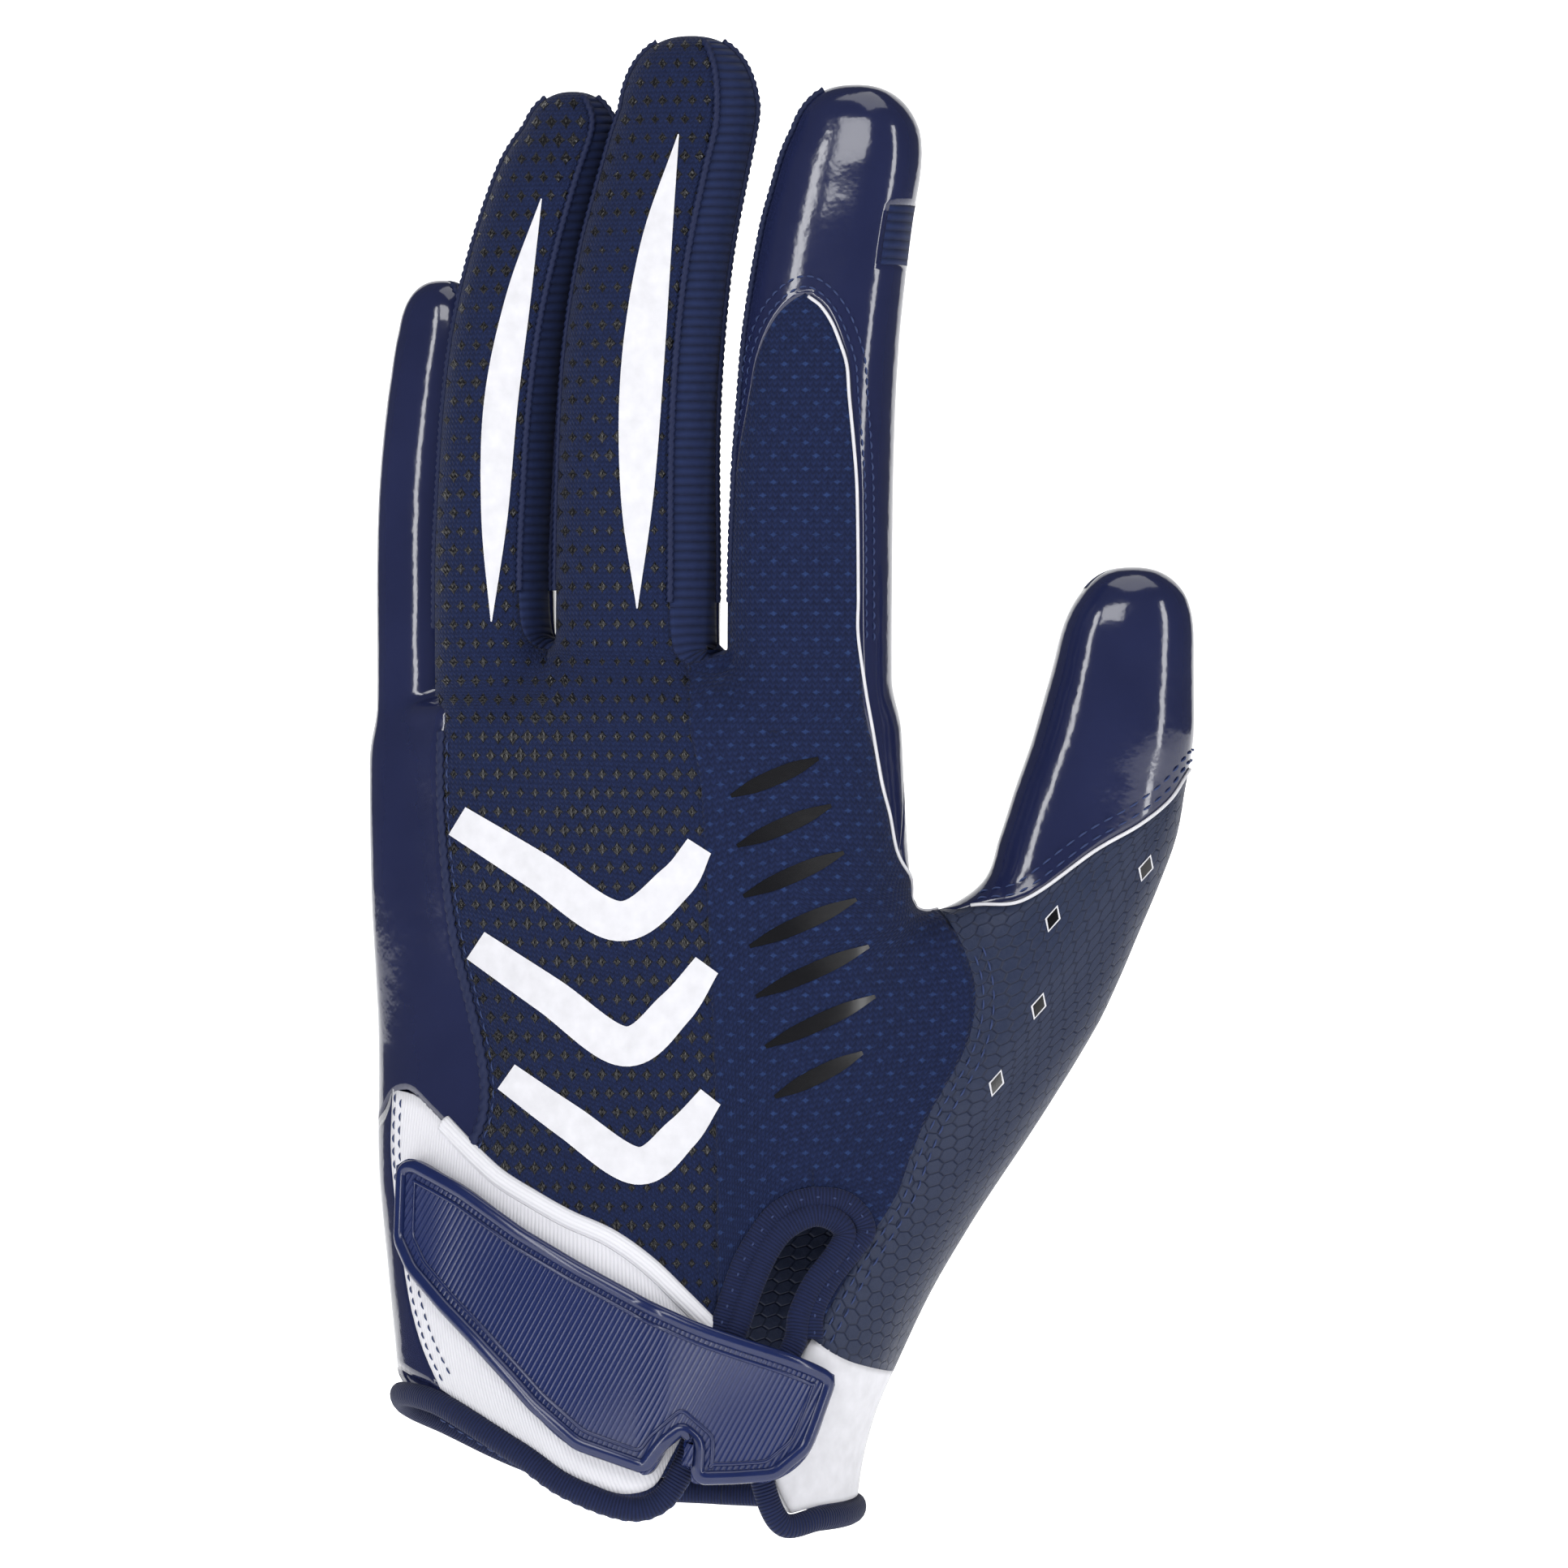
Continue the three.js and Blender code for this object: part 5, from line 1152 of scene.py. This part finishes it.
MAT = {
    "knit": knit_finish("knit_with_dots", dots=(2.4, 3.0, 0.47)),
    "mesh": knit_finish("index_mesh", pitch=1.0, dashes=True),
    "side": rib_finish("side_knit", KNIT_BLUE, KNIT_MOTTLE_AND_HOLLOW_SHADE, 1.5),
    "cuff_knit": knit_finish("cuff_knit"),
    "gloss": gloss_finish("gloss_panel"),
    "leather": leather_finish(),
    "white": white_finish("white_jersey", 0.75, 0.12),
    "print": plain_finish("white_print", WHITE, 0.6),
    "black": plain_finish("black_print", BLACK, 0.24, Specular_IOR_Level=0.4),
    "binding": rib_finish("ribbed_binding", BINDING_BLUE, BINDING_MOTTLE_AND_GROOVE_SHADE, 0.55, depth=0.2),
    "strap": strap_finish(),
    "rim": plain_finish("strap_rim", STRAP_BLUE, 0.2),
    "thread": plain_finish("navy_thread", THREAD_BLUE, 0.6, Specular_IOR_Level=0.2),
    "cord": plain_finish("seam_cord", CORD_BLUE, 0.6, Specular_IOR_Level=0.2),
}
print("finishes:", len(MAT))

# %% [markdown]
# Now the panels themselves. The back is a knit with raised gloss dots; the strip along the
# index finger is a plainer mesh; the side pieces between the fingers are ribbed.

# %% Sew the back and the side pieces
back_skin = panel("back_skin", BACK_GRIDS, MAT["knit"], "knit", ["back_panel"])
panel("index_skin", MESH_GRIDS, MAT["mesh"], "knit")
for node, grid in FOURCHETTES.items():
    panel(node + "_skin", [grid], MAT["side"], "side_knit", [node])
print("faces on the back:", len(back_skin.data.polygons))

# %% [markdown]
# The gloss panels come next. Two of them have a window near the fingertip, which is a few
# cells of the grid left out, and a knit piece that fills the same cells.

# %% Sew the gloss panels, the leather and the palm
GUSSET_INDEX = ((21, 23), (2, 4))
GUSSET_THUMB = ((7, 9), (12, 14))


def window(grid, place):
    rows, columns = place
    return grid[rows[0]: rows[1] + 1, columns[0]: columns[1] + 1]


panel("pinkie_skin", PINKIE_GRIDS, MAT["gloss"], "gloss", ["pinkie_wrap"])
panel("index_gloss_skin", [INDEX_MAIN, INDEX_LEG, INDEX_RIBBON], MAT["gloss"], "gloss",
      ["index_wrap"], holes={0: GUSSET_INDEX})
panel("index_gusset_skin", [window(INDEX_MAIN, GUSSET_INDEX)], MAT["side"], "side_knit",
      ["index_tip_gusset"])
panel("thumb_skin", [SLEEVE, THUMB_WEB], MAT["gloss"], "gloss", ["thumb_wrap"], holes={0: GUSSET_THUMB})
panel("thumb_gusset_skin", [window(SLEEVE, GUSSET_THUMB)], MAT["side"], "side_knit",
      ["thumb_tip_gusset"])
leather_skin = panel("leather_skin", [LEATHER], MAT["leather"], "leather", ["thumb_leather"],
                     thickness=1.4)
panel("palm_skin", PALM_GRIDS, MAT["gloss"], "grip", ["palm_panel"])
print("faces on the leather:", len(leather_skin.data.polygons))

# %% [markdown]
# The wrist is white jersey on the back and on a tab beside the slit, with a gloss strip down
# the outer edge. Its lower edge, the slit and the tab are bound with a ribbed tape, which is
# modelled as an oval carried along each edge.

# %% Sew the cuff
CUFF_THICK = 1.6
CUFF_CORNER = {
    "palm_turn": [[-36, 44], [-30, 37], [-22, 30]],
    "rear": [[-30, 1], [-33, 20], [-36, 44]],
    "palm_end": [[16, -11], [17, 0], [18, 9]],
    "low": [[-30, 1], [-15, -6], [0, -10], [16, -11]],
}
CUFF_TOP = np.concatenate([
    curve_on(on_back([[-37.7, 52.7], [-35.1, 52.7], [-29.9, 48.1], [-24.7, 42.9]]), 3),
    seam("cuff_ring", BACK, 3)[1:], seam("cuff_middle", BACK, 4)[1:]])
SIDE_TOP_EDGE = curve_on([*on_back([[-37.7, 52.7]]), outer_edge(50), *on_palm([[-36, 44]])], 4)
PALM_TOP = np.concatenate([curve_on(on_palm(CUFF_CORNER["palm_turn"]), 3), seam("palm_cuff", PALM, 6)[1:]])
TAB_TOP = curve_on(LEATHER_CUFF, 10)
TAB_LOW = curve_on([*on_back([[26.7, -14.3], [31, -13.2]]), wrist_side(90, -12),
                    *on_palm([[30, -11.5], [16, -11]])], 10)
FRONT, NOTCH, TAB_LEFT = (seam(name, BACK, 6) for name in ("side_front", "cuff_right", "tab_left"))
REAR, PALM_END = (curve_on(on_palm(CUFF_CORNER[name]), 6) for name in ("rear", "palm_end"))
CUFF_LOW = seam("cuff_low", BACK, len(CUFF_TOP) - 1)
SIDE_LOW = curve_on([*on_back([[-29.5, 5.2]]), outer_edge(8), *on_palm([[-30, 1]])], 4)
PALM_LOW = curve_on(on_palm(CUFF_CORNER["low"]), len(PALM_TOP) - 1)
CUFF_PIECES = {
    "cuff_back_skin": ((CUFF_LOW, CUFF_TOP, FRONT, NOTCH), "white", "white", "cuff_back"),
    "cuff_side_skin": ((SIDE_LOW, SIDE_TOP_EDGE, FRONT, REAR), "gloss", "gloss", "cuff_side_strip"),
    "cuff_palm_skin": ((PALM_LOW, PALM_TOP, REAR, PALM_END), "cuff_knit", "side_knit", "cuff_palm"),
    "cuff_tab_skin": ((TAB_LOW, TAB_TOP, TAB_LEFT, PALM_END), "print", "white", "cuff_tab"),
}
for name, (edges, finish, slot, node) in CUFF_PIECES.items():
    panel(name, [sheet(*edges)], MAT[finish], slot, [node], thickness=CUFF_THICK)
top_roll = curve_on(CUFF_TOP[2:], 120)
tube("cuff_top_roll", top_roll, 1.5, 0.9, MAT["white"], "white", sides=12)
print("cuff edge:", round(float(np.linalg.norm(np.diff(top_roll, axis=0), axis=1).sum())), "mm")

# %% [markdown]
# The bindings follow the cuff's lower edge, the slit and the tab. The slit also has a flat
# facing outside its roll, held by one row of stitches.

# %% Bind the edges
BINDING_LINE = {
    "vent": on_back([[13.6, 2.2], [15.2, 8], [17.9, 15], [20.8, 23], [23.3, 28.2], [26, 31.3],
                     [30.3, 33.2], [33.8, 32.2], [35.2, 30], [33.8, 27], [30.3, 22.4],
                     [28, 17.5], [27.2, 13], [23.7, 7]]),
    "main": np.concatenate([
        on_back([[12.2, 0.2], [9.4, -7], [5.9, -12], [0.7, -13.4], [-9.1, -9.9], [-16.9, -4.7],
                 [-29.9, 2.9]]),
        outer_edge(3.6)[None], on_palm([[-30, -1], [-15, -8.1], [0, -12], [15.6, -13.1]])]),
    "tab": np.concatenate([
        on_back([[21.8, 4.2], [21.2, -2], [22, -9], [25.2, -16], [31, -15.4]]), wrist_side(90, -14.2)[None],
        on_palm([[30, -13.6], [15.6, -13.1]])]),
}
BINDINGS = {
    "binding_vent": ("vent", 160, 1.9, "vent_binding", 20),
    "binding_cuff": ("main", 320, 1.95, "cuff_binding_main", 18),
    "binding_tab": ("tab", 180, 1.95, "cuff_binding_tab", 18),
}
for name, (line, count, half_width, node, sides) in BINDINGS.items():
    path = curve_on(BINDING_LINE[line], count)
    tube(name, path, half_width, 1.6, MAT["binding"], "binding", [node], sides=sides)
vent_edge = np.concatenate([seam("vent_left", BACK, 50), seam("vent_right", BACK, 50)[1:]])
facing = curve_on(vent_edge, 150)
tube("vent_facing", facing, 1.7, 0.75, MAT["binding"], "binding", lift=0.35)
stitches("vent_stitches", facing, 1.9, 0.8, 0.16, MAT["thread"], "binding", lift=1.05)
print("bindings:", len(BINDING_LINE))

# %% [markdown]
# The wrist strap is moulded, with a raised rim and fine slanting ribs. It lies on the cuff,
# climbs over the binding and comes down on the tab. Each row of its table is one line
# across it; the lines are spread evenly, lifted off the skin, and given their thickness.

# %% Mould the strap
STRAP = table(["low_x", "low_z", "high_x", "high_z"], [
    [-35.4, 28.2, -35.1, 40.2], [-33.2, 23.2, -32.6, 41.3], [-28.4, 17.4, -28.4, 39.1],
    [-23.3, 12, -24.3, 36.8], [-14.3, 1.95, -15.1, 30.2], [-7.4, -3.9, -6.1, 24.8],
    [1.3, -6.9, 1, 20.9], [3.8, -7.8, 4.5, 19], [6.6, -3.9, 6.8, 17.8], [9.2, -1.7, 9, 16.8],
    [10.8, -3.1, 11, 15.9], [10.5, -7.7, 12.5, 15.3], [11.3, -9.2, 14, 14.7], [17, -9, 19, 13],
    [22.9, -8.5, 25.3, 11], [27.8, -3.9, 29.5, 9.4], [32.1, 6.5, 32.1, 8.1]])
STRAP_THICK = 1.6
STRAP_CLEAR = 0.7
STRAP_RAMP = 5.5


def strap_height(x):
    """The strap's outer face: low on the cuff, high over the binding, lower on the tab."""
    over, past = smooth((x - 2) / STRAP_RAMP), smooth((x - 26.5) / STRAP_RAMP)
    return STRAP_CLEAR + 1.6 * over - 0.9 * past + STRAP_THICK


def lifted(path):
    return path + unit(slope(path)) * strap_height(path[..., 0])[..., None]


low = np.stack([STRAP["low_x"], STRAP["low_z"]], -1)
high = np.stack([STRAP["high_x"], STRAP["high_z"]], -1)
flat_strap = mix(low[None], high[None], np.linspace(0, 1, 7)[:, None, None])
strap_grid = on_back(finer(flat_strap, 6))
strap_points = lifted(strap_grid)
strap_faces = turned_out(strap_grid.reshape(-1, 3), grid_faces(*strap_grid.shape[:2]))
strap_uv = cloth_uv(strap_grid).reshape(-1, 2)
strap = mesh_object("strap_body", strap_points.reshape(-1, 3), strap_faces, strap_uv, MAT["strap"])
slab = strap.modifiers.new("thickness", "SOLIDIFY")
slab.thickness = STRAP_THICK * MM
slab.offset = -1
dress(strap, "strap", "wrist_strap")


def outline(inset):
    """The strap's border in x and z, moved inwards by the average of its two side directions."""
    border = np.concatenate([low, high[::-1]])
    ahead = np.roll(border, -1, axis=0) - border
    ahead /= np.linalg.norm(ahead, axis=1, keepdims=True)
    inward = np.stack([-ahead[:, 1], ahead[:, 0]], -1)
    corner = inward + np.roll(inward, 1, axis=0)
    size = np.maximum((corner * inward).sum(1, keepdims=True), 0.5)
    return border + corner / size * inset


def rim(name, inset, width, height, material):
    """A cord along the border: evenly spaced points, each the mean of five, lifted off the skin."""
    border = outline(inset)
    loop = np.concatenate([border, border[:1]])
    steps = np.concatenate([[0], np.linalg.norm(np.diff(loop, axis=0), axis=1).cumsum()])
    at = np.linspace(0, steps[-1], 420, endpoint=False)
    even = np.stack([np.interp(at, steps, loop[:, k]) for k in range(2)], -1)
    eased = np.mean([np.roll(even, k, axis=0) for k in range(-2, 3)], axis=0)
    path = lifted(on_back(eased))
    return tube(name, path, width, height, material, "strap", sides=12, closed=True)


rim("strap_rim", 0.9, 1.15, 0.85, MAT["rim"])
rim("strap_inner_rim", 3.0, 0.35, 0.32, MAT["rim"])
print("strap outline:", outline(0).shape[0], "corners")

# %% [markdown]
# Seams are what makes a glove look sewn. A twisted cord stands on the long seams of the
# fingers, rows of short threads run beside the leather, and a thin pale lining shows where
# two cut edges meet.

# %% Cords and stitches on the seams


def shifted(path, distance):
    """The path moved sideways along the skin."""
    return settle(path + frames(path)[1] * distance)


def finger_line(chain, angle, low_z, steps=90):
    """A line up a digit at one angle, over the start of its dome."""
    start = chain["tip"] - chain["round"]
    up = np.linspace(low_z, start, steps)
    rise = np.linspace(0, 0.96, 18)[1:]
    z = np.concatenate([up, np.full(17, start)])
    return settle(digit_point(chain, angle, z, np.concatenate([np.zeros(steps), rise])))


FINGER_SEAMS = {
    "ring_left": (RING, RING_EDGES[0], 127), "ring_right": (RING, RING_EDGES[1], 133),
    "middle_left": (MIDDLE, MIDDLE_EDGES[0], 133), "middle_right": (MIDDLE, MIDDLE_EDGES[1], 131),
    "middle_palm": (MIDDLE, 92, 131), "ring_palm": (RING, 92, 133),
    "index_left": (INDEX, INDEX_EDGE, 131), "pinkie_inner": (PINKIE, PINKIE_EDGE, 127),
}
for name, (chain, angle, start) in FINGER_SEAMS.items():
    line = curve_on(finger_line(chain, angle, start)[::6], 260)
    tube("seam_" + name, line, 0.55, 0.5, MAT["cord"], "knit", sides=8, twist=2.6, lift=0.15)
arch_heights = np.array([124, 132, 141, 150, 157, 163.8, 169, 173, 176, 178.5, 180])
arch_left = settle(digit_point(INDEX, along(MESH_ARCH, "left", arch_heights), arch_heights))
arch_right = settle(digit_point(INDEX, along(MESH_ARCH, "right", arch_heights), arch_heights))
ARCH_LINE = curve_on(np.concatenate([arch_left[3:], arch_right[::-1]]), 200)
MESH_EDGE = curve_on(np.concatenate([arch_right[::-1], side_line(56)[::-1][1:], WEB_RISE[::-1][1:]]), 240)
tube("index_raw_edge", shifted(MESH_EDGE, -0.2), 0.28, 0.3, MAT["print"], "white", sides=6, lift=0.15)
for k, offset in enumerate((1.3, 3.0)):
    stitches(f"arch_stitches_{k}", shifted(ARCH_LINE, offset), 1.25, 0.45, 0.17, MAT["thread"], "gloss")
leather_line = curve_on(LINE["leather_back"][:-1], 160)
for k, offset in enumerate((-1.3, -3.0)):
    stitches(f"leather_stitches_{k}", shifted(leather_line, offset), 1.7, 0.7, 0.17, MAT["thread"],
             "leather")
thumb_hem = curve_on(SLEEVE[0][:7], 120)
tube("thumb_raw_edge", shifted(thumb_hem, 0.1), 0.3, 0.3, MAT["print"], "white", sides=6, lift=0.15)
for k, offset in enumerate((1.7, 3.4)):
    stitches(f"thumb_stitches_{k}", shifted(thumb_hem, offset), 1.7, 0.7, 0.17, MAT["thread"], "gloss")
pinkie_line = curve_on(LINE["pinkie"], 200)
tube("pinkie_overlock", shifted(pinkie_line, 0.5), 0.9, 0.4, MAT["cord"], "gloss", sides=8,
     twist=1.7, lift=0.1)
stitches("pinkie_stitches", shifted(pinkie_line, -1.2), 1.5, 0.7, 0.15, MAT["thread"], "gloss")
cuff_hem = curve_on(BINDING_LINE["main"][:7], 200)
stitches("cuff_stitches", shifted(cuff_hem, 1.9), 1.4, 0.7, 0.15, MAT["thread"], "binding")
side_line_front = curve_on(FRONT, 120)
for k, offset in enumerate((-1.0, -2.8)):
    stitches(f"side_stitches_{k}", shifted(side_line_front, offset), 1.5, 0.7, 0.15, MAT["thread"],
             "gloss")
print("stitched lines:", sum(o.name.find("stitches") >= 0 for o in bpy.data.objects))

# %% [markdown]
# The print stands out on the dark knit: plain white chevrons across the hand, a slim tapered
# stripe on each of two fingers, and black bars on the mesh. Each is a ribbon of cloth-thin
# print laid on the skin: a path and a width that changes along it.

# %% Print the bands


def ribbon(name, points, widths, material, slot, columns=6, lift=0.12, steps=60):
    """A strip whose half width runs smoothly along its middle line, laid just off the skin."""
    points = np.array(points, dtype=float)
    t = np.linspace(0, 1, len(points))
    fine = np.linspace(0, 1, steps + 1)
    rows = {"z": t, "x": points[:, 0], "y": points[:, 1], "w": np.array(widths, dtype=float)}
    middle = np.stack([along(rows, "x", fine), along(rows, "y", fine)], -1)
    ahead = np.gradient(middle, axis=0)
    ahead /= np.linalg.norm(ahead, axis=1, keepdims=True)
    side = np.stack([-ahead[:, 1], ahead[:, 0]], -1)
    half = np.maximum(along(rows, "w", fine), 0.02)[:, None, None]
    across = np.linspace(-1, 1, columns + 1)[None, :, None]
    skin = on_back(middle[:, None] + side[:, None] * half * across)
    flat = skin.reshape(-1, 3)
    faces = turned_out(flat, grid_faces(*skin.shape[:2]))
    raised = flat + unit(slope(flat)) * lift
    obj = mesh_object(name, raised, faces, cloth_uv(skin).reshape(-1, 2), material)
    return dress(obj, slot)


BANDS = {
    "band_upper": ([[-27, 96], [-14, 88], [-1, 80], [8, 86], [12, 92]], [2.6, 3.0, 3.2, 3.0, 2.2]),
    "band_middle": ([[-24, 76], [-12, 68], [0, 60], [8, 66], [13.2, 73]], [2.6, 3.0, 3.2, 3.0, 2.2]),
    "band_lower": ([[-19, 55], [-9, 48], [2, 41], [9, 46], [13.8, 52]], [2.4, 2.8, 3.0, 2.8, 2.0]),
    "stripe_ring": ([[-21.5, 128], [-21, 145], [-20, 163], [-17.2, 180], [-13.5, 196]],
                    [0.1, 2.1, 2.7, 2.0, 0.1]),
    "stripe_middle": ([[2, 130], [2, 148], [2.8, 168], [5, 188], [8.6, 206]],
                      [0.1, 2.6, 3.4, 2.5, 0.1]),
}
for name, (points, widths) in BANDS.items():
    ribbon(name, points, widths, MAT["print"], "white")
BARS = [[[17, 100], [31, 106]], [[18, 92], [33, 98.5]], [[19, 84], [35, 91]], [[20, 76], [37, 83.5]],
        [[21, 68], [39, 76]], [[22.5, 60], [40, 68]], [[24, 52], [38, 59]]]
for k, (start, end) in enumerate(BARS):
    start, end = np.array(start, float), np.array(end, float)
    inner = [mix(start, end, t) for t in (0, 0.3, 0.7, 1)]
    ribbon(f"bar_{k}", inner, [0.3, 1.2, 1.2, 0.3], MAT["black"], "gloss", columns=4, steps=30)
print("printed pieces:", len(BANDS) + len(BARS))

# %% [markdown]
# The leather has slanted vents with a pale cut edge. Each is a four-sided frame set along the thumb, with a
# black diamond in its middle that is painted shade for the dark inside of the hole.

# %% Vents of the leather
VENTS = [[83.6, 88.4], [68.6, 80.3], [79.3, 72.8], [66.3, 66.3], [73.1, 58.5], [59.5, 54],
         [64, 47], [54.6, 35.8]]


def vent(name, centre, half_width, half_height, material, lift):
    """A slanted diamond: two ramps from its middle line, which leans to the right."""
    u = np.linspace(-1, 1, 9)[None, :]
    v = np.linspace(-1, 1, 9)[:, None]
    x = centre[0] + half_width * u * (1 - np.abs(v)) + 0.35 * half_height * v
    z = centre[1] + half_height * v + 0 * u
    skin = on_back(np.stack(np.broadcast_arrays(x, z), -1))
    flat = skin.reshape(-1, 3)
    faces = turned_out(flat, grid_faces(*skin.shape[:2]))
    raised = flat + unit(slope(flat)) * lift
    obj = mesh_object(name, raised, faces, cloth_uv(skin).reshape(-1, 2), material)
    weld(obj)
    return dress(obj, "leather")


inside = []
for x, z in VENTS:
    middle = np.array([x, along(THUMB["rows"], "y", z), z])
    if glove(middle) < -3:
        inside.append([x, z])
for k, centre in enumerate(inside):
    vent(f"vent_edge_{k}", centre, 1.25, 2.2, MAT["print"], 0.06)
    # Painted shade: a black diamond laid over the leather stands for the dark inside of the vent.
    vent(f"vent_hole_shade_{k}", centre, 0.95, 1.8, MAT["black"], 0.1)
print("vents:", len(inside))

# %% [markdown]
# The picture is level and from far off, so a long lens stands two and a half metres away.
# The backdrop is one curved white sheet; two tall lamps give the soft upright streaks that
# show how smooth the printed film is.

# %% Camera, backdrop and light
PX = 0.13
FRAME = 1932 * PX
CENTRE = np.array([(966 - 770) * PX, 0, (1750 - 966) * PX])
DISTANCE = 2500
camera_data = bpy.data.cameras.new("camera")
camera_data.sensor_width = 36
camera_data.lens = 36 * (DISTANCE - 8) / FRAME
camera_data.clip_end = 20
camera = bpy.data.objects.new("camera", camera_data)
camera.location = (CENTRE + [0, -DISTANCE, 0]) * MM
camera.rotation_euler = (np.pi / 2, 0, 0)
bpy.context.collection.objects.link(camera)
bpy.context.scene.camera = camera


def backdrop():
    """A floor that curves up into a wall: straight, a quarter circle, straight."""
    turn = np.linspace(0, np.pi / 2, 16)
    y = np.concatenate([[-2.6], 2.8 + 0.5 * np.sin(turn), [3.3]])
    z = np.concatenate([[-0.06], 0.44 - 0.5 * np.cos(turn), [3.2]])
    x = np.linspace(-2.4, 2.4, 5)
    return np.stack(np.broadcast_arrays(x[None], y[:, None], z[:, None]), -1) / MM


paper = Finish("backdrop", (0.9, 0.9, 0.9), 0.9, Emission_Color=(1, 1, 1, 1),
               Emission_Strength=1.0).material
paper_grid = backdrop()
paper_points = paper_grid.reshape(-1, 3)
paper_faces = grid_faces(*paper_grid.shape[:2])[:, ::-1]
floor = mesh_object("backdrop", paper_points, paper_faces, paper_points[:, :2], paper)


def lamp(name, place, size, power_watts, target=(0.02, 0, 0.1)):
    data = bpy.data.lights.new(name, "AREA")
    data.shape = "RECTANGLE"
    data.size, data.size_y = size
    data.energy = power_watts
    obj = bpy.data.objects.new(name, data)
    obj.location = place
    way = np.array(target) - np.array(place)
    flat = np.hypot(way[0], way[1])
    obj.rotation_euler = (np.pi / 2 + np.arctan2(way[2], flat), 0, np.arctan2(-way[0], way[1]))
    bpy.context.collection.objects.link(obj)


lamp("left_strip", (-0.75, -0.75, 0.25), (0.16, 1.3), 6.5)
lamp("right_strip", (0.85, -0.65, 0.25), (0.16, 1.3), 6)
lamp("key", (-0.35, -1.1, 0.95), (0.7, 0.5), 7)
lamp("top", (0.1, -0.1, 1.3), (0.8, 0.8), 4)
world = bpy.data.worlds.new("studio")
bpy.context.scene.world = world
world.use_nodes = True
world.node_tree.nodes["Background"].inputs["Color"].default_value = (1, 1, 1, 1)
world.node_tree.nodes["Background"].inputs["Strength"].default_value = 0.1
bpy.context.scene.view_settings.view_transform = "Standard"
print("lens:", round(camera_data.lens, 1), "mm")
